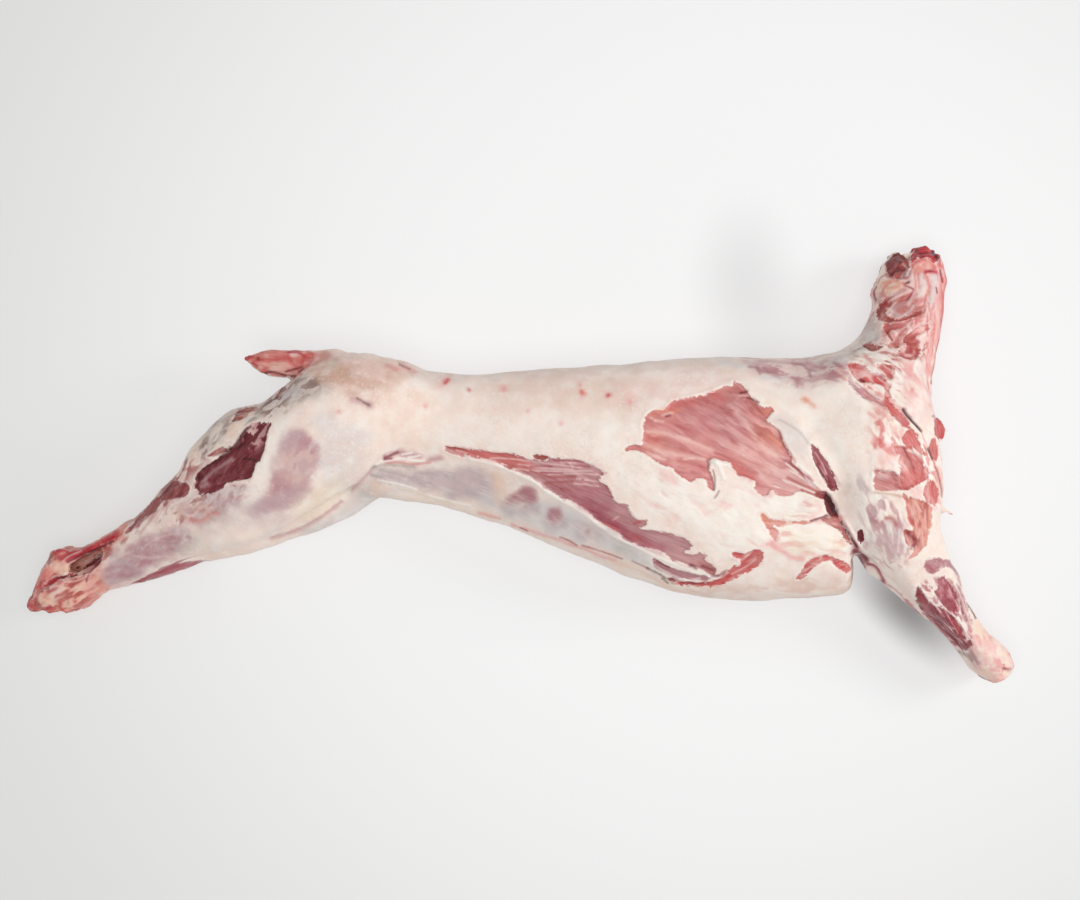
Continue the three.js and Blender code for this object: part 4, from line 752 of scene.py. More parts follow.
        (988, 682)), ((968, 602), (969, 607)))),
    Strokes(Tone.SHELL, 1.4, 0.6, 0.3, (((964, 600), (972, 630), (977, 645)),)),
    Strokes(Tone.VIOLET, 2.4, 0.75, -0.3, (((970, 650), (978, 664)),)),
    Strokes(Tone.UMBER, 1.6, 0.5, -0.2, (((957, 650), (966, 654), (972, 660)),)),
    Strokes(Tone.PEACH, 4, 0.5, 0, (((975, 625), (984, 634)), ((984, 672), (990, 676)))),
    Strokes(Tone.PINK, 4, 0.5, 0.3, (((986, 642), (993, 648)), ((986, 630), (991, 633)), ((996, 678),
        (1000, 681)))),
    Strokes(Tone.PINK, 1.6, 0.7, 0, (((1002, 640), (1009, 650), (1014, 660), (1014, 668)), ((988, 684),
        (997, 686), (1004, 683)))),
    Strokes(Tone.RED, 1.3, 0.6, 0, (((1010, 653), (1014, 662)), ((992, 685), (1000, 685)), ((1004, 665),))),
    Strokes(Tone.CRIMSON, 2, 0.85, -1.2, (((1005, 669), (1009, 671)),)),
    Strokes(None, 2.2, 0, -1.8, (((1004, 672), (1008, 678)),)),
    # the neck and its cut end
    Strokes(Tone.MAROON, 1.5, 0.8, -0.4, (((887, 263), (890, 257), (897, 253), (902, 257), (906, 259)),
        ((879, 316), (880, 308), (885, 302)), ((875, 287), (873, 293), (875, 300)))),
    Strokes(Tone.BRICK, 3, 0.5, 0.4, (((894, 263), (902, 268)), ((884, 305), (880, 314)))),
    Strokes(Tone.MIST, 1.2, 0.6, 0.3, (((899, 280), (906, 276), (909, 270)), ((901, 277), (907, 271)),
        ((903, 264), (907, 268)))),
    Strokes(Tone.BROWN, 1.2, 0.6, -0.5, (((886, 275), (896, 279), (906, 278)), ((877, 283), (880, 276),
        (888, 273)), ((893, 313), (901, 316), (908, 314)))),
    Strokes(Tone.SALMON, 4, 0.75, 0.3, (((914, 264), (920, 269)), ((928, 263), (933, 267)))),
    Strokes(Tone.RED, 1.6, 0.65, 0, (((914, 263), (922, 260)), ((931, 261), (935, 268)), ((883, 305),
        (890, 299)))),
    Strokes(Tone.CRIMSON, 2.4, 0.85, 0.3, (((926, 272), (930, 271), (936, 272)),)),
    # painted shade in small hollows of the neck's cut end
    Strokes(Tone.INK, 1, 0.8, -0.5, (((930, 271),), ((932, 254), (936, 260)), ((904, 284), (909, 282)))),
    Strokes(Tone.MIST, 3.4, 0.8, 0.7, (((934, 277), (934, 284)), ((932, 290), (930, 304)))),
    Strokes(Tone.PINK, 2.4, 0.7, 0, (((938, 264), (942, 280), (940, 296)), ((938, 300), (939, 320),
        (936, 345)), ((932, 332), (928, 370)))),
    Strokes(Tone.CORAL, 1.6, 0.8, 0.4, (((939, 264), (944, 268), (947, 276), (946, 288), (943, 300),
        (941, 336)),)),
    Strokes(Tone.MAROON, 0.9, 0.75, -0.4, (((941, 270), (943, 282)), ((936, 288), (937, 293)))),
    Strokes(Tone.BRICK, 1.3, 0.75, -0.2, (((942, 320), (941, 338), (931, 383)),)),
    Strokes(Tone.ROSE, 2.2, 0.75, -0.4, (((927, 277), (929, 288), (925, 298), (917, 304)),)),
    Strokes(Tone.MIST, 2, 0.6, 0.5, (((921, 275), (923, 286), (918, 296)), ((908, 304), (914, 296)),
        ((890, 309), (896, 314), (905, 315), (913, 306)))),
    Strokes(Tone.ROSE, 1.1, 0.65, -0.4, (((912, 263), (915, 280), (915, 294), (910, 306)), ((918, 274),
        (919, 288)), ((928, 303), (930, 312), (931, 324)), ((933, 304), (932, 318)), ((914, 308),
        (926, 306)), ((896, 300), (904, 293)), ((910, 320), (924, 316)))),
    Strokes(Tone.WINE, 1, 0.75, -0.6, (((904, 285), (913, 289), (911, 294), (907, 299)), ((903, 283),
        (909, 283)))),
    Strokes(Tone.SALMON, 1.6, 0.7, 0.3, (((883, 283), (892, 281), (905, 284)), ((888, 288), (900, 287)))),
    Strokes(Tone.HAZE, 3, 0.6, 0.4, (((890, 298), (898, 295), (905, 290)), ((895, 307), (902, 304)))),
    Strokes(Tone.SHELL, 1.2, 0.8, 0.5, (((888, 301), (906, 292)), ((886, 308), (892, 312)), ((893, 322),
        (904, 321)), ((900, 345), (905, 349)), ((924, 330), (918, 337)))),
    Strokes(Tone.BRICK, 1.5, 0.7, -0.4, (((886, 317), (896, 320), (905, 318), (920, 312)), ((887, 331),
        (890, 336), (895, 342)), ((905, 340), (911, 343), (918, 341)), ((900, 355), (908, 358), (915, 355),
        (918, 349)))),
    Strokes(Tone.CRIMSON, 1.6, 0.5, -0.4, (((911, 344), (912, 353)), ((904, 356), (910, 358)))),
    Strokes(Tone.PALE_FIBRE, 2, 0.6, 0.5, (((903, 348),), ((914, 332), (924, 327)))),
    Strokes(Tone.ROSE, 2, 0.65, -0.3, (((865, 357), (872, 362)), ((912, 390),), ((893, 334), (898, 343)))),
    Strokes(Tone.MAROON, 1.1, 0.75, -0.6, (((863, 345), (869, 348)),)),
    Strokes(Tone.WHITE, 1.6, 0.6, 0.5, (((866, 352), (876, 354), (884, 358)), ((870, 366), (876, 372)),
        ((884, 346), (892, 352)), ((916, 362), (914, 372)))),
    Strokes(None, 3, 0, -2, (((901, 254), (908, 256)),)),
    # lumps and notches of the outline
    Strokes(None, 4, 0, 3, (((896, 250),), ((886, 263),), ((924, 243),), ((937, 257),), ((872, 293),))),
    Strokes(None, 3, 0, -3, (((905, 255),), ((881, 272),), ((934, 249),), ((873, 280),), ((288, 380),))),
    Strokes(None, 5, 0, -8, (((1008, 674),),)),
    Strokes(None, 4, 0, -4, (((908, 254),),)),
    Strokes(None, 3, 0, 2, (((52, 548),), ((26, 606),), ((44, 612),), ((66, 612),), ((246, 358),))),
    # the scrap beside the breast
    Strokes(Tone.WINE, 1.6, 0.8, 0, (((944, 514), (949, 516), (953, 514)),)),
    Strokes(Tone.PINK, 1.6, 0.7, 0, (((948, 504), (952, 509), (953, 512)),)),
)


class Clouds:
    """Seeded smooth noise that fills space, from about -1 to 1.

    A number added to the points picks another part of it, which is another noise.
    """

    CELLS = 512
    LAYER_GAP = 37.0

    def __init__(self, seed: int) -> None:
        """Draws the noise's own numbers.

        Args:
            seed: What the draw starts from.
        """
        draw = np.random.default_rng(seed)
        self.order = draw.permutation(self.CELLS)
        self.level = draw.uniform(-1, 1, self.CELLS)

    def at(self, points: np.ndarray, size: float) -> np.ndarray:
        """One layer of noise.

        Args:
            points: Places as rows of x, y and z.
            size: How far apart its bumps stand.

        Returns:
            The noise at each place.
        """
        cell = np.floor(points / size)
        part = points / size - cell
        ease = part * part * part * (part * (part * 6 - 15) + 10)
        cell = cell.astype(np.int64)
        total = np.zeros(len(points))
        for corner in range(8):
            step = np.array([corner & 1, corner >> 1 & 1, corner >> 2 & 1])
            share = np.prod(np.where(step, ease, 1 - ease), axis=1)
            x, y, z = (cell + step).T
            spot = self.order[(self.order[(self.order[x % self.CELLS] + y) % self.CELLS] + z) % self.CELLS]
            total += share * self.level[spot]
        return total

    def layered(self, points: np.ndarray, size: float, layers: int = 3) -> np.ndarray:
        """Layers of noise, each half the size and half the strength of the one before.

        Args:
            points: Places as rows of x, y and z.
            size: How far apart the bumps of the first layer stand.
            layers: How many layers there are.

        Returns:
            The noise at each place.
        """
        return sum(self.at(points + self.LAYER_GAP * k, size / 2 ** k) / 2 ** k for k in range(layers))


def eased(value: np.ndarray, low: float, high: float) -> np.ndarray:
    """A smooth step from 0 at low to 1 at high."""
    part = np.clip((value - low) / (high - low), 0, 1)
    return part * part * (3 - 2 * part)


def rounded(places: Places, closed: bool, steps: int = 5) -> np.ndarray:
    """A smooth curve through the places.

    Args:
        places: The places that the curve goes through.
        closed: Whether it comes back to its start.
        steps: How many stretches lie between two places.

    Returns:
        Its places as rows.
    """
    points = np.array(places, float)
    if len(points) < 3:
        return points
    if closed:
        ring = np.vstack([points[-1:], points, points[:2]])
    else:
        ring = np.vstack([points[:1], points, points[-1:]])
    along = np.linspace(0, 1, steps, endpoint=False)[:, None]
    made = []
    for a, b, c, d in zip(ring, ring[1:], ring[2:], ring[3:]):
        made.append(0.5 * (2 * b + (c - a) * along + (2 * a - 5 * b + 4 * c - d) * along ** 2
                           + (3 * b - a - 3 * c + d) * along ** 3))
    if not closed:
        made.append(points[-1:])
    return np.vstack(made)


def distance_to(spots: np.ndarray, path: np.ndarray) -> np.ndarray:
    """How far each spot is from a path of straight stretches.

    Args:
        spots: The spots as rows of x and y.
        path: The path's places as rows, or a single place.

    Returns:
        One distance for each spot.
    """
    if len(path) == 1:
        return np.linalg.norm(spots - path[0], axis=1)
    best = np.full(len(spots), np.inf)
    for start, end in zip(path, path[1:]):
        run = end - start
        share = np.clip(((spots - start) @ run) / max(run @ run, TINY), 0, 1)
        gap = spots - start - share[:, None] * run
        best = np.minimum(best, np.einsum("ij,ij->i", gap, gap))
    return np.sqrt(best)


def depth_inside(spots: np.ndarray, loop: np.ndarray) -> np.ndarray:
    """How far inside a closed outline each spot is.

    Args:
        spots: The spots as rows of x and y.
        loop: The outline's places as rows.

    Returns:
        One depth for each spot, below 0 outside the outline.
    """
    ring = np.vstack([loop, loop[:1]])
    far = distance_to(spots, ring)
    inside = np.zeros(len(spots), bool)
    x, y = spots.T
    for (ax, ay), (bx, by) in zip(ring, ring[1:]):
        if ay != by:
            crosses = (ay > y) != (by > y)
            inside ^= crosses & (x < (bx - ax) * (y - ay) / (by - ay) + ax)
    return np.where(inside, far, -far)


def put_in(name: str, data: bpy.types.ID) -> bpy.types.Object:
    """Puts an object into the scene.

    Args:
        name: Its name.
        data: Its mesh, camera or light.

    Returns:
        The object.
    """
    made = bpy.data.objects.new(name, data)
    bpy.context.scene.collection.objects.link(made)
    return made


@dataclass(frozen=True)
class OverheadCamera:
    """The camera, which looks straight down. Its picture is given in pixels."""

    height: float = 2400.0
    aim: Place = (20.0, 14.7)
    lens: float = 69.38
    sensor: float = 36.0
    reach: float = 50.0
    picture: tuple[int, int] = (1080, 900)

    def zoom_at(self, height: np.ndarray | float) -> np.ndarray | float:
        """How many pixels a millimetre takes up at a height."""
        return self.lens / self.sensor * self.picture[0] / (self.height - height)

    def seen_at(self, points: np.ndarray) -> np.ndarray:
        """Where the camera sees points.

        Args:
            points: The points as rows of x, y and z.

        Returns:
            Their places in the picture as rows.
        """
        zoom = self.zoom_at(points[:, 2])
        across = self.picture[0] / 2 + (points[:, 0] - self.aim[0]) * zoom
        down = self.picture[1] / 2 - (points[:, 1] - self.aim[1]) * zoom
        return np.stack([across, down], axis=1)

    def point_at(self, places: np.ndarray, height: float) -> np.ndarray:
        """The points at a height that the camera sees at places of the picture.

        Args:
            places: The places as rows.
            height: How high the points lie.

        Returns:
            The points as rows of x, y and z.
        """
        zoom = self.zoom_at(height)
        x = (places[:, 0] - self.picture[0] / 2) / zoom + self.aim[0]
        y = (self.picture[1] / 2 - places[:, 1]) / zoom + self.aim[1]
        return np.stack([x, y, np.full(len(places), height)], axis=1)

    def build(self) -> None:
        """Puts the camera into the scene and makes it the scene's own."""
        data = bpy.data.cameras.new("overhead_camera")
        data.lens = self.lens
        data.sensor_width = self.sensor
        data.clip_end = self.reach
        camera = put_in("overhead_camera", data)
        camera.location = (self.aim[0] * MM, self.aim[1] * MM, self.height * MM)
        bpy.context.scene.camera = camera


class Shader:
    """A material's nodes, put together with short calls."""

    def __init__(self, name: str) -> None:
        """Starts a material with empty nodes.

        Args:
            name: Its name.
        """
        self.material = bpy.data.materials.new(name)
        self.material.use_nodes = True
        self.tree = self.material.node_tree
        self.tree.nodes.clear()

    def node(self, kind: str, inputs: dict | None = None, **settings: object) -> bpy.types.Node:
        """Adds a node.

        Args:
            kind: The node's type without its ShaderNode.
            inputs: What goes into its sockets, a value or another node's socket, by name or number.
            **settings: The node's own settings.

        Returns:
            The node.
        """
        made = self.tree.nodes.new("ShaderNode" + kind)
        for name, value in settings.items():
            setattr(made, name, value)
        for socket, value in (inputs or {}).items():
            if isinstance(value, Socket):
                self.tree.links.new(value, made.inputs[socket])
            else:
                made.inputs[socket].default_value = value
        return made

    def attribute(self, name: str, output: str = "Color") -> Socket:
        """What the mesh carries under a name."""
        return self.node("Attribute", attribute_name=name).outputs[output]

    def vector(self, operation: str, first: Socket, second: Spot, output: str = "Vector") -> Socket:
        """One operation on a vector and a fixed one."""
        return self.node("VectorMath", {0: first, 1: second}, operation=operation).outputs[output]

    def noise(self, where: Socket, size: float, detail: float = 3.0, rough: float = 0.5) -> Socket:
        """Noise from 0 to 1 with bumps of a size in millimetres."""
        inputs = {"Vector": where, "Scale": 1 / size, "Detail": detail, "Roughness": rough}
        return self.node("TexNoise", inputs).outputs[0]

    def step(self, value: Socket, low: Value, high: Value, bottom: Value = 0.0, top: Value = 1.0) -> Socket:
        """A smooth step from bottom to top while the value goes from low to high."""
        inputs = {0: value, 1: low, 2: high, 3: bottom, 4: top}
        return self.node("MapRange", inputs, interpolation_type="SMOOTHSTEP").outputs[0]

    def sums(self, operation: str, *values: Value) -> Socket:
        """One arithmetic operation on its values."""
        return self.node("Math", dict(enumerate(values)), operation=operation).outputs[0]

    def weighed(self, *parts: tuple[Socket, float], add: float = 0.0) -> Socket:
        """A weighed sum.

        Args:
            *parts: Pairs of a value and its weight.
            add: A number that is added.

        Returns:
            The sum.
        """
        total = add
        for value, weight in parts:
            total = self.sums("MULTIPLY_ADD", value, weight, total)
        return total

    def mixed(self, share: Value, first: object, second: object, blend: str = "MIX") -> Socket:
        """Two colours mixed by a share of the second."""
        inputs = {0: share, 6: first, 7: second}
        return self.node("Mix", inputs, data_type="RGBA", blend_type=blend).outputs[2]


def linear(seen: np.ndarray) -> np.ndarray:
    """Colours as the renderer counts them, from colours as they are seen."""
    return np.where(seen <= 0.04045, seen / 12.92, ((seen + 0.055) / 1.055) ** 2.4)


def shown(tone: Tone) -> Colour:
    """A tone as a colour socket takes it."""
    return (*linear(tone.seen()), 1.0)


class Grain:
    """The noises that the carcass's colours share, each from 0 to 1, with sizes in millimetres."""

    # how much the noise shrinks along a fibre and a tuft, which makes it long
    STRAND = (0.06, 1.0, 1.0)
    TUFT = (0.25, 1.0, 1.0)

    def __init__(self, s: Shader) -> None:
        """Makes the noises from the skin's places and from its lengths along and across the fibres.

        Args:
            s: The material.
        """
        place = s.node("TexCoord").outputs["Object"]
        self.place = s.node("VectorMath", {0: place, 3: 1 / MM}, operation="SCALE").outputs[0]
        fibre = s.attribute("fibre", "Vector")
        strand = s.vector("MULTIPLY", fibre, self.STRAND)
        tuft = s.vector("MULTIPLY", fibre, self.TUFT)
        self.fine = s.noise(strand, size=2.2, rough=0.6)
        self.broad = s.noise(strand, size=8.0, detail=2.0)
        self.tufts = s.noise(tuft, size=3.4, rough=0.6)
        self.wide = s.noise(self.place, size=55.0)
        self.mottle = s.noise(self.place, size=17.0, detail=4.0, rough=0.6)
        self.speck = s.noise(self.place, size=3.6, detail=4.0, rough=0.62)


@dataclass(frozen=True)
class SkinFinish:
    """The finish of the carcass: moist fat, and flesh with its fibres where the fat is cut away.

    How far a point lies inside bare flesh is in pixels. Dark fibres, and the painted shade just inside the
    edge of bare flesh, multiply their colour by the shadow, and warm fat multiplies it by the blush. The
    fat's raised rim round bare flesh gets a painted highlight.
    """

    fat_roughness: float = 0.5
    flesh_roughness: float = 0.4
    speckle_roughness: float = 0.1
    shine: float = 0.35
    depth_of_light: float = 3.0
    light_share: float = 0.08
    light_reach: Spot = (1.0, 0.35, 0.2)
    bump_height: float = 1.0
    bump_strength: float = 0.5
    shadow: Colour = (0.62, 0.44, 0.45, 1)
    blush: Colour = (0.95, 0.84, 0.8, 1)

    def build(self) -> bpy.types.Material:
        """Makes the material.

        Returns:
            The material.
        """
        s = Shader("goat_skin")
        grain = Grain(s)
        film = s.attribute("flesh", "Alpha")
        torn = s.weighed((grain.tufts, 1.2), (grain.speck, 0.8), add=-1.0)
        torn = s.sums("MULTIPLY", torn, s.step(grain.mottle, 0.35, 0.65, 2.5, 8.0))
        bare = s.sums("ADD", s.attribute("bare", "Fac"), torn)
        spread = s.weighed((film, 2.2), (grain.wide, 0.8), add=0.15)
        mask = s.step(bare, s.sums("MULTIPLY", spread, -1.0), spread)
        colour = s.mixed(mask, self.fat(s, grain, bare), self.flesh(s, grain, film, bare))

        relief = s.weighed((grain.fine, 0.45), (grain.speck, 0.5), (grain.mottle, 0.6), (mask, -0.45))
        bump = s.node("Bump", {"Strength": self.bump_strength, "Distance": self.bump_height * MM,
                               "Height": relief})
        rough = s.step(mask, 0.0, 1.0, self.fat_roughness, self.flesh_roughness)
        uneven = s.step(grain.speck, 0.3, 0.7, -self.speckle_roughness, self.speckle_roughness)
        body = s.node("BsdfPrincipled", {
            "Base Color": colour, "Roughness": s.sums("ADD", rough, uneven), "Normal": bump.outputs[0],
            "Specular IOR Level": self.shine, "Subsurface Weight": self.light_share,
            "Subsurface Radius": self.light_reach, "Subsurface Scale": self.depth_of_light * MM})
        s.node("OutputMaterial", {0: body.outputs[0]})
        return s.material

    def flesh(self, s: Shader, grain: Grain, film: Socket, bare: Socket) -> Socket:
        """The colour of bare flesh, with dark and pale fibres under a thin torn film.

        Args:
            s: The material.
            grain: Its noises.
            film: How much film lies on the flesh.
            bare: How far inside bare flesh a point lies.

        Returns:
            The colour.
        """
        base = s.attribute("flesh")
        dark = s.mixed(1.0, base, self.shadow, "MULTIPLY")
        light = s.mixed(s.step(film, 0.0, 0.6, 0.12, 0.5), base, shown(Tone.PALE_FIBRE))
        made = s.mixed(s.step(grain.fine, 0.5, 0.3, 0.0, 0.55), base, dark)
        made = s.mixed(s.step(grain.fine, 0.5, 0.7, 0.0, 0.7), made, light)
        made = s.mixed(s.step(grain.broad, 0.48, 0.28, 0.0, 0.3), made, dark)
        made = s.mixed(s.step(grain.broad, 0.52, 0.75, 0.0, 0.45), made, light)
        made = s.mixed(s.step(grain.wide, 0.55, 0.3, 0.0, 0.25), made, dark)
        torn = s.weighed((grain.fine, 0.4), (grain.broad, 0.3), (grain.mottle, 0.3))
        torn = s.step(torn, 0.36, 0.64, 0.15, 1.1)
        made = s.mixed(s.sums("MULTIPLY", film, torn), made, shown(Tone.FILM))
        thread = s.step(grain.mottle, 0.55, 0.68, 0.0, 0.7)
        thread = s.sums("MULTIPLY", s.step(grain.fine, 0.66, 0.74), thread)
        made = s.mixed(thread, made, shown(Tone.WHITE))
        # painted shade just inside the edge of bare flesh, under the fat's lip
        edge = s.sums("MULTIPLY", s.step(bare, 3.0, 0.3, 0.0, 0.3), s.step(grain.wide, 0.4, 0.6))
        return s.mixed(edge, made, dark)

    def fat(self, s: Shader, grain: Grain, bare: Socket) -> Socket:
        """The colour of fat, mottled and veined, with what its veils let through.

        Args:
            s: The material.
            grain: Its noises.
            bare: How far inside bare flesh a point lies.

        Returns:
            The colour.
        """
        base = s.attribute("fat")
        white = shown(Tone.WHITE)
        warm = s.mixed(1.0, base, self.blush, "MULTIPLY")
        made = s.mixed(s.step(grain.mottle, 0.42, 0.7, 0.0, 0.4), base, warm)
        made = s.mixed(s.step(grain.wide, 0.45, 0.7, 0.0, 0.35), made, warm)
        made = s.mixed(s.step(grain.mottle, 0.52, 0.3, 0.0, 0.35), made, white)
        fleck = s.sums("MULTIPLY", s.step(grain.speck, 0.55, 0.7, 0.0, 0.5), s.step(grain.wide, 0.4, 0.6))
        made = s.mixed(fleck, made, white)
        made = s.mixed(s.step(grain.speck, 0.42, 0.26, 0.0, 0.3), made, warm)
        vein = s.sums("ABSOLUTE", s.sums("SUBTRACT", s.noise(grain.place, size=15.0, rough=0.6), 0.5))
        vein = s.sums("MULTIPLY", s.step(vein, 0.02, 0.0, 0.0, 0.35), s.step(grain.wide, 0.45, 0.6))
        made = s.mixed(vein, made, shown(Tone.BLUSH))
        made = s.mixed(s.attribute("fat", "Alpha"), base, made)
        through = s.weighed((grain.fine, 0.35), (grain.broad, 0.25), (grain.mottle, 0.4))
        through = s.step(through, 0.3, 0.62, 0.45, 1.15)
        through = s.sums("MULTIPLY", s.attribute("veil", "Alpha"), through)
        made = s.mixed(through, made, s.attribute("veil"))
        # painted highlight on the fat's raised rim round bare flesh
        rim = s.sums("MULTIPLY", s.step(bare, -3.5, -0.5, 0.0, 0.4), s.step(grain.mottle, 0.4, 0.6))
        return s.mixed(rim, made, white)


class Paint:
    """Everything that the skin's points carry: heights of the relief, and colours for the finish."""

    # which slopes count from underside to upper side, and which from level to upright
    UPPER = (-0.3, 0.1)
    UPRIGHT = (0.55, 0.95)
    # how far the paint drifts on upright skin, in pixels, and how long the drift's waves are
    DRIFT = 6.0
    DRIFT_SIZE = 38.0
    # the angle of fibres and the share of film where no patch gives them
    GRAIN = -25.0
    FILM = 0.3
    # how high a pole lies, and how many millimetres a radian of its fan counts
    POLE_HEIGHT = 120.0
    FAN = 90.0
    # where a cut's wall starts and ends, and how far out, how wide and how high the rim around it is
    WALL = (-1.0, 2.2)
    RIM = (2.2, 1.4, 0.4)
    # the bumps of the noise that makes edges uneven: of patches, tints on flesh, other tints and marblings
    FRAY_SIZE = 8.0
    FIBRE_SIZE = 9.0
    TINT_SIZE = 16.0
    MARBLE_SIZE = 14.0
    UNEVEN = 0.6
    # how much of a veil or film goes under a stroke, and of a film or mottling under a marbling
    HIDDEN = 0.8
    FAINTER = 0.5
    # size and height of the skin's lumps and bumps, and of the strands in bare flesh
    LUMPS = (26.0, 0.9)
    BUMPS = (6.0, 0.25)
    STRANDS = (4.0, 0.35)

    def __init__(self, points: np.ndarray, normals: np.ndarray, camera: OverheadCamera,
                 clouds: Clouds) -> None:
        """Finds where the camera sees each point and starts with plain fat.

        Args:
            points: The skin's points as rows.
            normals: Which way the skin faces there.
            camera: The camera that the places were read through.
            clouds: The noise for uneven edges.
        """
        count = len(points)
        self.clouds = clouds
        self.points = points
        self.camera = camera
        upper = eased(normals[:, 2], *self.UPPER)
        mirrored = points.copy()
        mirrored[:, 2] = upper * points[:, 2] + (1 - upper) * (2 * MID_HEIGHT - points[:, 2])
        steep = eased(1 - np.abs(normals[:, 2]), *self.UPRIGHT)[:, None]
        drift = np.stack([clouds.at(points + 500, self.DRIFT_SIZE), clouds.at(points + 900, self.DRIFT_SIZE)],
                         axis=1)
        self.spots = camera.seen_at(mirrored) + self.DRIFT * steep * drift
        self.bare = np.full(count, -REACH)
        self.flesh = np.tile(np.append(Tone.ROSE.seen(), self.FILM), (count, 1))
        self.fat = np.tile(np.append(Tone.FAT.seen(), 1.0), (count, 1))
        self.veil = np.tile(np.append(Tone.LILAC.seen(), 0.0), (count, 1))
        self.fibre = self.turned(points, self.GRAIN)
        self.height = np.zeros(count)
        self.busy = np.zeros(count)

    def inside(self, outline: Places, margin: float) -> tuple[np.ndarray, np.ndarray]:
        """The points around an outline.

        Args:
            outline: The places that its smooth loop goes through.
            margin: How far outside the loop's box points still count, in pixels.

        Returns:
            The points' numbers, and how deep inside the loop they lie.
        """
        loop = rounded(outline, closed=True)
        near = self.near(loop, margin)
        return near, depth_inside(self.spots[near], loop)

    def near(self, places: np.ndarray, margin: float) -> np.ndarray:
        """The points within a margin of the places' box.

        Args:
            places: The places as rows.
            margin: The margin in pixels.

        Returns:
            The points' numbers.
        """
        low, high = places.min(0) - margin, places.max(0) + margin
        x, y = self.spots.T
        return np.flatnonzero((x > low[0]) & (x < high[0]) & (y > low[1]) & (y < high[1]))

    @staticmethod
    def turned(points: np.ndarray, angle: float) -> np.ndarray:
        """Points as lengths along and across a direction, and heights.

        Args:
            points: The points as rows.
            angle: The direction's angle in degrees.

        Returns:
            The lengths as rows.
        """
        turn = np.radians(angle)
        along = points[:, 0] * np.cos(turn) + points[:, 1] * np.sin(turn)
        across = points[:, 1] * np.cos(turn) - points[:, 0] * np.sin(turn)
        return np.stack([along, across, points[:, 2]], axis=1)

    def fanned(self, points: np.ndarray, pole: Place) -> np.ndarray:
        """Points as lengths along and across lines that fan out of a pole, and half their heights.

        Args:
            points: The points as rows.
            pole: The pole's place in the picture.

        Returns:
            The lengths as rows.
        """
        gap = points - self.camera.point_at(np.array([pole]), self.POLE_HEIGHT)[0]
        reach = np.linalg.norm(gap[:, :2], axis=1)
        return np.stack([reach, np.arctan2(gap[:, 1], gap[:, 0]) * self.FAN, 0.5 * points[:, 2]], axis=1)

    @staticmethod
    def blend(colours: np.ndarray, near: np.ndarray, tone: Tone, share: np.ndarray) -> None:
        """Mixes a tone into colours by a share for each of the points near."""
        colours[near, :3] += (tone.seen() - colours[near, :3]) * share[:, None]

    def patch(self, patch: Patch) -> None:
        """Cuts one patch of bare flesh into the fat.

        Args:
            patch: The patch.
        """
        near, depth = self.inside(patch.outline, REACH)
        log.debug("%s: %d points", patch.name, len(near))
        depth += patch.fray * 0.5 * self.clouds.layered(self.points[near] * (1, 1, 0.6), self.FRAY_SIZE, 2)
        before = self.bare[near]
        wins = (depth > before) | (depth > 0)
        soft = 1.2 + 2.0 * patch.film
        share = np.where(before > -1, eased(depth, -soft, soft), wins.astype(float))[:, None]
        tone = np.append(patch.tone.seen(), patch.film)
        self.flesh[near] = self.flesh[near] * (1 - share) + tone * share
        chosen = self.points[near[wins]]
        fibre = self.fanned(chosen, patch.pole) if patch.pole else self.turned(chosen, patch.grain)
        self.fibre[near[wins]] = fibre
        self.bare[near] = np.maximum(before, depth)
        out, wide, high = self.RIM
        floor = -patch.depth * eased(depth, *self.WALL) + high * np.exp(-((depth + out) / wide) ** 2)
        self.height[near] = np.where(depth > before, floor, np.minimum(self.height[near], floor))
        self.busy[near] = np.maximum(self.busy[near], eased(-np.abs(depth), -5.0, -2.0))

    def tint(self, layer: Layer, tint: Tint) -> None:
        """Lays one soft stretch of colour on.

        Args:
            layer: What it lies on.
            tint: The tint.
        """
        near, depth = self.inside(tint.outline, 2 * tint.softness)
        if layer is Layer.FLESH:
            uneven = self.clouds.layered(self.fibre[near] * (0.2, 1, 1), self.FIBRE_SIZE, 2)
        else:
            uneven = self.clouds.layered(self.points[near], self.TINT_SIZE, 3)
        depth += self.UNEVEN * tint.softness * uneven
        share = tint.strength * eased(depth, -tint.softness, tint.softness)
        if layer is Layer.FAT:
            self.blend(self.fat, near, tint.tone, share)
        elif layer is Layer.FLESH:
            self.blend(self.flesh, near, tint.tone, share)
        else:
            total = self.veil[near, 3] + share * (1 - self.veil[near, 3])
            self.blend(self.veil, near, tint.tone, share / np.maximum(total, TINY))
            self.veil[near, 3] = total

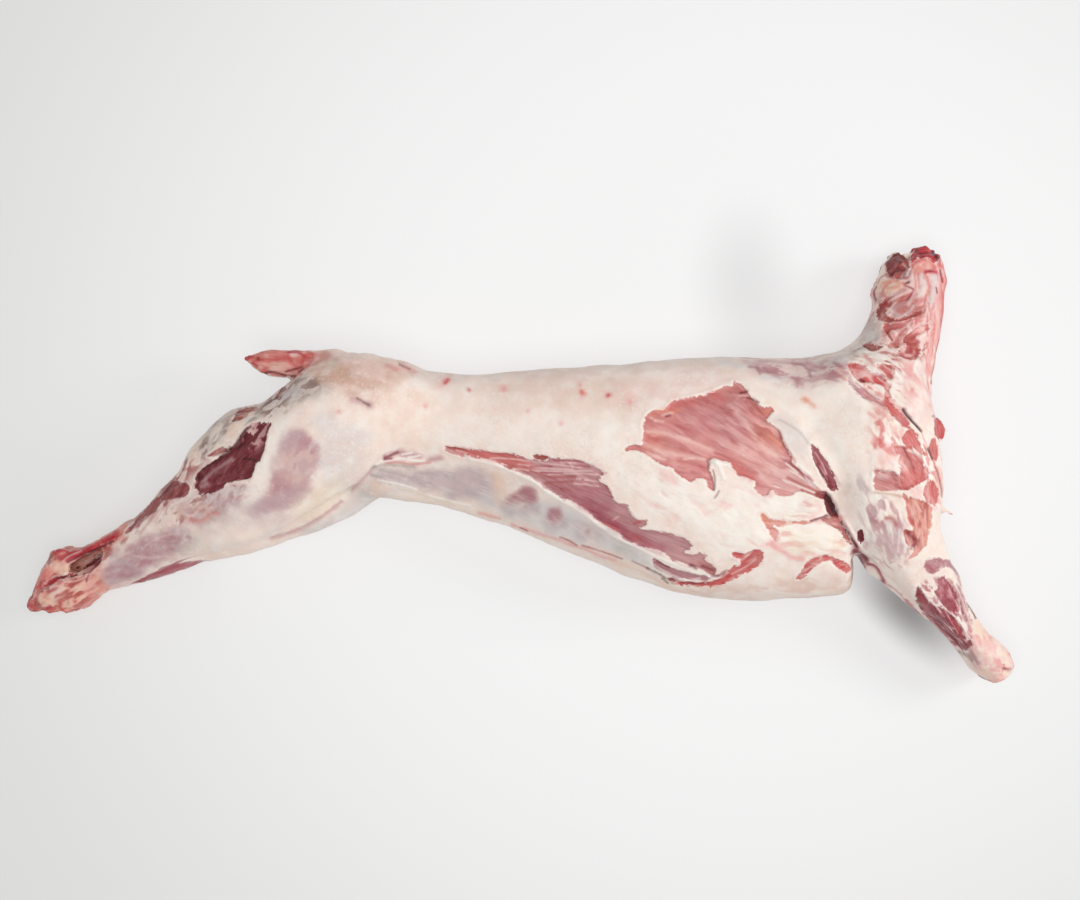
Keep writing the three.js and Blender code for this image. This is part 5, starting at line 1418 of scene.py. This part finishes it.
    def marble(self, marbling: Marbling) -> None:
        """Runs streaks of two tones through one stretch.

        Args:
            marbling: The marbling.
        """
        near, depth = self.inside(marbling.outline, 2 * marbling.softness)
        points = self.points[near]
        depth += self.UNEVEN * marbling.softness * self.clouds.layered(points, self.MARBLE_SIZE, 2)
        inside = eased(depth, -marbling.softness, marbling.softness)
        width = marbling.width
        bends = [self.clouds.at(points + 700.0 * k, 4.0 * width) for k in (1, 2, 3)]
        laid = self.turned(points + 0.9 * width * np.stack(bends, axis=1), marbling.angle)
        laid[:, 0] /= marbling.length
        streak = self.clouds.layered(laid, 2.0 * width, 3) + 0.5 * marbling.balance
        uneven = 0.75 + 0.5 * self.clouds.at(points + 400, 20.0)
        strength = np.clip(marbling.strength * uneven, 0, 1) * inside
        for tone, side in ((marbling.dark, streak), (marbling.pale, -streak)):
            share = strength * eased(side, 0.0, 0.45)
            if marbling.layer is not Layer.FLESH:
                self.blend(self.fat, near, tone, share)
                self.veil[near, 3] *= 1 - self.HIDDEN * share
                self.fat[near, 3] *= 1 - self.FAINTER * share
            if marbling.layer is not Layer.FAT:
                self.blend(self.flesh, near, tone, share)
                self.flesh[near, 3] *= 1 - self.FAINTER * share
        self.height[near] -= marbling.height * inside * np.clip(streak, -0.7, 0.7)
        fineness = 2 if width < 2 * FINE_WIDTH else 1
        self.busy[near] = np.maximum(self.busy[near], fineness * eased(inside, 0.1, 0.3))

    def draw(self, strokes: Strokes, line: Places) -> None:
        """Draws one line or spot on fat and flesh alike.

        Args:
            strokes: The strokes that it belongs to.
            line: Its places.
        """
        path = rounded(line, closed=False, steps=4)
        near = self.near(path, 2.6 * strokes.width)
        far = distance_to(self.spots[near], path) * (1 + 0.35 * self.clouds.at(self.points[near], 5.0))
        bell = np.exp(-(far / strokes.width) ** 2)
        self.height[near] += strokes.height * bell
        if strokes.tone is not None:
            share = strokes.strength * bell
            for colours in (self.fat, self.flesh):
                self.blend(colours, near, strokes.tone, share)
                colours[near, 3] *= 1 - self.HIDDEN * share
            self.veil[near, 3] *= 1 - self.HIDDEN * share
        fineness = 2 if strokes.width < FINE_WIDTH else 1
        self.busy[near] = np.maximum(self.busy[near], fineness * eased(bell, 0.05, 0.4))

    def everything(self) -> None:
        """Lays on all patches, tints, marblings and strokes, and the fine lumps of the skin."""
        for patch in HIND_PATCHES + BELLY_PATCHES + FRONT_PATCHES:
            self.patch(patch)
        for layer, tints in ((Layer.FAT, FAT_TINTS), (Layer.SKIN, SKIN_TINTS), (Layer.FLESH, FLESH_TINTS)):
            for tint in tints:
                self.tint(layer, tint)
        for marbling in MARBLINGS:
            self.marble(marbling)
        for strokes in STROKES:
            for line in strokes.lines:
                self.draw(strokes, line)
        size, height = self.LUMPS
        self.height += height * self.clouds.layered(self.points + 200, size, 2)
        size, height = self.BUMPS
        self.height += height * self.clouds.at(self.points + 300, size)
        size, height = self.STRANDS
        strands = self.clouds.layered(self.fibre * (0.12, 1, 1), size, 2)
        self.height += height * eased(self.bare, 0.0, 2.0) * strands


def rows_of(carriers: bpy.types.bpy_prop_collection, field: str, width: int = 3,
            kind: type = np.float32) -> np.ndarray:
    """Reads a field of all a mesh's points, edges or the like.

    Args:
        carriers: What has the field.
        field: Its name.
        width: How many numbers it has.
        kind: The numbers' type.

    Returns:
        The numbers as rows.
    """
    flat = np.empty(len(carriers) * width, kind)
    carriers.foreach_get(field, flat)
    return flat.reshape(-1, width)


@dataclass(frozen=True)
class Skin:
    """The skin of the carcass: the solid's form, made fine and given its relief and colours.

    Smoothing is in rounds, and each pushes a point towards its neighbours and back. What faces down by more
    than under_slope keeps a share of its triangles. What faces up by more than fine_slope gets finer ones
    where it is busy.
    """

    voxel: float = 4.4
    smoothing: int = 14
    last_smoothing: int = 2
    pushes: Place = (0.5, -0.53)
    under_slope: float = -0.25
    under_share: float = 0.16
    fine_slope: float = -0.1
    finish: SkinFinish = SkinFinish()

    @staticmethod
    def baked(holder: bpy.types.Object) -> bpy.types.Mesh:
        """Makes a mesh of what an object's modifiers give, and removes the object.

        Args:
            holder: The object.

        Returns:
            The mesh.
        """
        made = bpy.data.meshes.new_from_object(holder.evaluated_get(bpy.context.evaluated_depsgraph_get()))
        bpy.data.objects.remove(holder)
        return made

    def remeshed(self, solid: bpy.types.Object) -> bpy.types.Mesh:
        """The solid's form as even small squares.

        Args:
            solid: The CAD node, which stays as it is.

        Returns:
            The mesh.
        """
        copy = put_in("carcass_form", solid.data.copy())
        remesh = copy.modifiers.new("squares", "REMESH")
        remesh.mode = "VOXEL"
        remesh.voxel_size = self.voxel * MM
        return self.baked(copy)

    @staticmethod
    def points_of(mesh: bpy.types.Mesh) -> np.ndarray:
        """A mesh's points in millimetres."""
        return rows_of(mesh.vertices, "co").astype(float) / MM

    @staticmethod
    def place(mesh: bpy.types.Mesh, points: np.ndarray) -> None:
        """Moves a mesh's points to places given in millimetres."""
        mesh.vertices.foreach_set("co", (points * MM).astype(np.float32).ravel())
        mesh.update()

    @staticmethod
    def normals_of(mesh: bpy.types.Mesh) -> np.ndarray:
        """Which way a mesh faces at its points."""
        return rows_of(mesh.vertex_normals, "vector").astype(float)

    def relax(self, mesh: bpy.types.Mesh, rounds: int) -> None:
        """Smooths a mesh without shrinking it.

        Args:
            mesh: The mesh.
            rounds: How many times each point goes towards its neighbours and back.
        """
        one, two = rows_of(mesh.edges, "vertices", 2, np.int32).T
        points = self.points_of(mesh)
        count = len(points)
        degree = np.bincount(one, minlength=count) + np.bincount(two, minlength=count)
        for push in self.pushes * rounds:
            sums = [np.bincount(one, line[two], count) + np.bincount(two, line[one], count)
                    for line in points.T]
            points += push * (np.stack(sums, axis=1) / degree[:, None] - points)
        self.place(mesh, points)

    def thinned(self, mesh: bpy.types.Mesh) -> bpy.types.Mesh:
        """The mesh with fewer triangles on its underside.

        Args:
            mesh: The mesh.

        Returns:
            The new mesh.
        """
        under = self.normals_of(mesh)[:, 2] < self.under_slope
        holder = put_in("carcass_form", mesh)
        group = holder.vertex_groups.new(name="under")
        group.add(np.flatnonzero(under).tolist(), 1.0, "REPLACE")
        triangles = holder.modifiers.new("triangles", "TRIANGULATE")
        triangles.quad_method = "SHORTEST_DIAGONAL"
        thin = holder.modifiers.new("thin", "DECIMATE")
        thin.vertex_group = group.name
        thin.ratio = 1 - under.mean() * (1 - self.under_share)
        return self.baked(holder)

    @staticmethod
    def refine(mesh: bpy.types.Mesh, busy: np.ndarray) -> None:
        """Halves the edges of a mesh where it is busy.

        Args:
            mesh: The mesh.
            busy: How busy it is at each point, which counts above a half.
        """
        form = bmesh.new()
        form.from_mesh(mesh)
        form.verts.ensure_lookup_table()
        wanted = {edge for face in form.faces if max(busy[v.index] for v in face.verts) > 0.5
                  for edge in face.edges}
        bmesh.ops.subdivide_edges(form, edges=list(wanted), cuts=1)
        bmesh.ops.triangulate(form, faces=[face for face in form.faces if len(face.verts) > 3])
        form.to_mesh(mesh)
        form.free()
        log.info("refined to %d faces", len(mesh.polygons))

    def push(self, mesh: bpy.types.Mesh, camera: OverheadCamera) -> None:
        """Shifts a mesh sideways where the outline lies differently.

        Args:
            mesh: The mesh.
            camera: The camera that the pushes were read through.
        """
        points = self.points_of(mesh)
        level = np.stack([points[:, 0], points[:, 1], np.full(len(points), MID_HEIGHT)], axis=1)
        spots = camera.seen_at(level)
        shift = np.zeros((len(points), 2))
        total = np.zeros(len(points))
        for push in PUSHES:
            gap = spots - np.array(push.place, float)
            weight = np.exp(-np.einsum("ij,ij->i", gap, gap) / PUSH_REACH ** 2)
            shift += weight[:, None] * np.array(push.shift, float)
            total += weight
        moved = camera.point_at(spots + shift / np.maximum(total, 1.0)[:, None], MID_HEIGHT)
        points[:, :2] = moved[:, :2]
        self.place(mesh, points)

    def painted(self, mesh: bpy.types.Mesh, camera: OverheadCamera) -> Paint:
        """Finds all that the mesh's points carry.

        Args:
            mesh: The mesh.
            camera: The camera that the places were read through.

        Returns:
            The finished paint.
        """
        paint = Paint(self.points_of(mesh), self.normals_of(mesh), camera, Clouds(SEED))
        paint.everything()
        return paint

    def dress(self, mesh: bpy.types.Mesh, paint: Paint) -> None:
        """Gives a mesh its colours and its finish.

        Args:
            mesh: The mesh.
            paint: What its points carry.
        """
        layers = (("bare", "FLOAT", "value", paint.bare), ("fibre", "FLOAT_VECTOR", "vector", paint.fibre),
                  ("flesh", "FLOAT_COLOR", "color", paint.flesh), ("fat", "FLOAT_COLOR", "color", paint.fat),
                  ("veil", "FLOAT_COLOR", "color", paint.veil))
        for name, kind, field, values in layers:
            if kind == "FLOAT_COLOR":
                values = np.hstack([linear(values[:, :3]), values[:, 3:]])
            layer = mesh.attributes.new(name, kind, "POINT")
            layer.data.foreach_set(field, np.ascontiguousarray(values, np.float32).ravel())
        mesh.materials.clear()
        mesh.materials.append(self.finish.build())
        mesh.polygons.foreach_set("use_smooth", np.ones(len(mesh.polygons), bool))

    def parted(self, mesh: bpy.types.Mesh) -> list[bpy.types.Mesh]:
        """Parts a mesh crosswise into the stretches, shaded as one at the cuts.

        Args:
            mesh: The whole mesh.

        Returns:
            One mesh for each stretch.
        """
        facing = mesh.attributes.new("facing", "FLOAT_VECTOR", "POINT")
        facing.data.foreach_set("vector", self.normals_of(mesh).astype(np.float32).ravel())
        made = []
        for stretch in Stretch:
            low, high = stretch.value
            part = mesh.copy()
            form = bmesh.new()
            form.from_mesh(part)
            away = [face for face in form.faces if not low <= face.calc_center_median().x / MM < high]
            bmesh.ops.delete(form, geom=away, context="FACES")
            form.to_mesh(part)
            form.free()
            kept = rows_of(part.attributes["facing"].data, "vector")
            part.normals_split_custom_set_from_vertices(kept.tolist())
            part.attributes.remove(part.attributes["facing"])
            made.append(part)
        return made

    def build(self, solid: bpy.types.Object, camera: OverheadCamera) -> list[bpy.types.Object]:
        """Makes the pieces that stand for the solid.

        Args:
            solid: The CAD node.
            camera: The camera that the places were read through.

        Returns:
            The finished pieces.
        """
        mesh = self.remeshed(solid)
        self.relax(mesh, self.smoothing)
        self.push(mesh, camera)
        mesh = self.thinned(mesh)
        for level in (0, 1):
            busy = self.painted(mesh, camera).busy - level
            self.refine(mesh, busy * (self.normals_of(mesh)[:, 2] > self.fine_slope))
        self.relax(mesh, self.last_smoothing)
        paint = self.painted(mesh, camera)
        self.place(mesh, paint.points + self.normals_of(mesh) * paint.height[:, None])
        self.dress(mesh, paint)
        return [put_in("carcass_" + stretch.name.lower(), part)
                for stretch, part in zip(Stretch, self.parted(mesh))]


@dataclass(frozen=True)
class TendonWeb:
    """The low flesh between the tendon and the shank, which fills most of the gap beside the hock."""

    middle: Place = (91.0, 557.5)
    half: Spot = (18.0, 7.0, 13.0)
    turn: float = 30.0
    height: float = 23.0
    fineness: int = 5
    tone: Tone = Tone.CORAL

    def build(self, skin: Skin, camera: OverheadCamera) -> bpy.types.Object:
        """Makes the web.

        Args:
            skin: The skin, whose paint and finish it has.
            camera: The camera that its middle was read through.

        Returns:
            The finished piece.
        """
        form = bmesh.new()
        bmesh.ops.create_icosphere(form, subdivisions=self.fineness, radius=1.0)
        mesh = bpy.data.meshes.new("tendon_web")
        form.to_mesh(mesh)
        form.free()
        lens = skin.points_of(mesh) * MM * self.half
        middle = camera.point_at(np.array([self.middle]), self.height)[0]
        skin.place(mesh, Paint.turned(lens, -self.turn) + middle)
        paint = skin.painted(mesh, camera)
        paint.bare[:] = -REACH
        paint.fat[:, :3] = self.tone.seen()
        skin.dress(mesh, paint)
        return put_in("tendon_web", mesh)


@dataclass(frozen=True)
class Shade:
    """A soft shadow on the floor: its middle, half its length and width, its turn, and its strength."""

    middle: Place
    half: Place
    turn: float
    strength: float


@dataclass(frozen=True)
class Lamp:
    """A round soft lamp that faces the carcass: where it hangs, how wide it is, in metres, and its watts."""

    name: str
    place: Spot
    size: float
    power: float

    def build(self) -> None:
        """Hangs the lamp."""
        data = bpy.data.lights.new(self.name, "AREA")
        data.shape = "DISK"
        data.size = self.size
        data.energy = self.power
        light = put_in(self.name, data)
        light.location = self.place
        light.rotation_euler = (-Vector(self.place)).to_track_quat("-Z", "Y").to_euler()
        light.visible_camera = False


@dataclass(frozen=True)
class Studio:
    """The pale floor, which fades away from its bright spot, and the soft lights. Its sizes are in metres."""

    camera: OverheadCamera
    shades: tuple[Shade, ...] = (
        Shade((905, 607), (105, 42), -43, 0.75), Shade((745, 285), (70, 110), 0, 0.16),
        Shade((880, 640), (120, 70), -40, 0.03))
    lamps: tuple[Lamp, ...] = (
        Lamp("overhead_lamp", (0.05, -0.3, 2.9), 1.8, 36.0), Lamp("side_lamp", (2.7, 0.45, 1.6), 1.0, 34.0))
    floor_size: float = 12.0
    # the floor's colour is painted lighter round the bright spot and darker further out, a painted pool of
    # light
    bright_spot: Place = (0.2, 0.1)
    fade: Place = (0.3, 1.1)
    near_colour: Colour = (0.35, 0.35, 0.35, 1)
    far_colour: Colour = (0.283, 0.286, 0.279, 1)
    shade_colour: Colour = (0.05, 0.045, 0.045, 1)
    floor_roughness: float = 0.9
    floor_shine: float = 0.1
    # the floor glows with its own colour though it is no lamp, a painted light that softens the shade round
    # the carcass
    glow: float = 1.6
    sky: float = 0.42

    def shaded(self, s: Shader, place: Socket, colour: Socket, shade: Shade) -> Socket:
        """Darkens the floor under one shadow.

        Args:
            s: The floor's material.
            place: The floor's places.
            colour: The floor's colour so far.
            shade: The shadow.

        Returns:
            The new colour.
        """
        middle = self.camera.point_at(np.array([shade.middle]), 0.0)[0] * MM
        pixel = MM / self.camera.zoom_at(0.0)
        gap = s.vector("SUBTRACT", place, tuple(middle))
        turned = s.node("VectorRotate", {"Vector": gap, "Angle": -np.radians(shade.turn)},
                        rotation_type="Z_AXIS").outputs[0]
        scaled = s.vector("MULTIPLY", turned, (1 / (shade.half[0] * pixel), 1 / (shade.half[1] * pixel), 0.0))
        far = s.node("VectorMath", {0: scaled}, operation="LENGTH").outputs["Value"]
        return s.mixed(s.step(far, 1.0, 0.0, 0.0, shade.strength), colour, self.shade_colour)

    def floor(self) -> None:
        """Lays the floor."""
        half = self.floor_size / 2
        corners = [(-half, -half, 0), (half, -half, 0), (half, half, 0), (-half, half, 0)]
        mesh = bpy.data.meshes.new("floor")
        mesh.from_pydata(corners, [], [(0, 1, 2, 3)])
        s = Shader("floor_paper")
        place = s.node("TexCoord").outputs["Object"]
        far = s.vector("DISTANCE", place, (*self.bright_spot, 0.0), "Value")
        colour = s.mixed(s.step(far, *self.fade), self.near_colour, self.far_colour)
        for shade in self.shades:
            colour = self.shaded(s, place, colour, shade)
        body = s.node("BsdfPrincipled", {
            "Base Color": colour, "Roughness": self.floor_roughness, "Specular IOR Level": self.floor_shine,
            "Emission Color": colour, "Emission Strength": self.glow})
        s.node("OutputMaterial", {0: body.outputs[0]})
        mesh.materials.append(s.material)
        put_in("floor", mesh)

    def build(self) -> None:
        """Puts the floor, an even sky and the lamps into the scene."""
        self.floor()
        world = bpy.data.worlds.new("studio")
        world.use_nodes = True
        world.node_tree.nodes["Background"].inputs[0].default_value = (1, 1, 1, 1)
        world.node_tree.nodes["Background"].inputs[1].default_value = self.sky
        bpy.context.scene.world = world
        for lamp in self.lamps:
            lamp.build()
        bpy.context.scene.view_settings.view_transform = "Standard"


def main() -> None:
    """Builds the camera, the studio and the carcass, and writes how large it is."""
    logging.basicConfig(level=logging.INFO, format="%(name)s: %(message)s")
    camera = OverheadCamera()
    camera.build()
    Studio(camera).build()
    skin = Skin()
    for piece in (*skin.build(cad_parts["carcass"], camera), TendonWeb().build(skin, camera)):
        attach(piece, "root")
        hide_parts("carcass")
        log.info("%s: %d points, %d faces", piece.name, len(piece.data.vertices), len(piece.data.polygons))


if __name__ == "__main__":
    main()
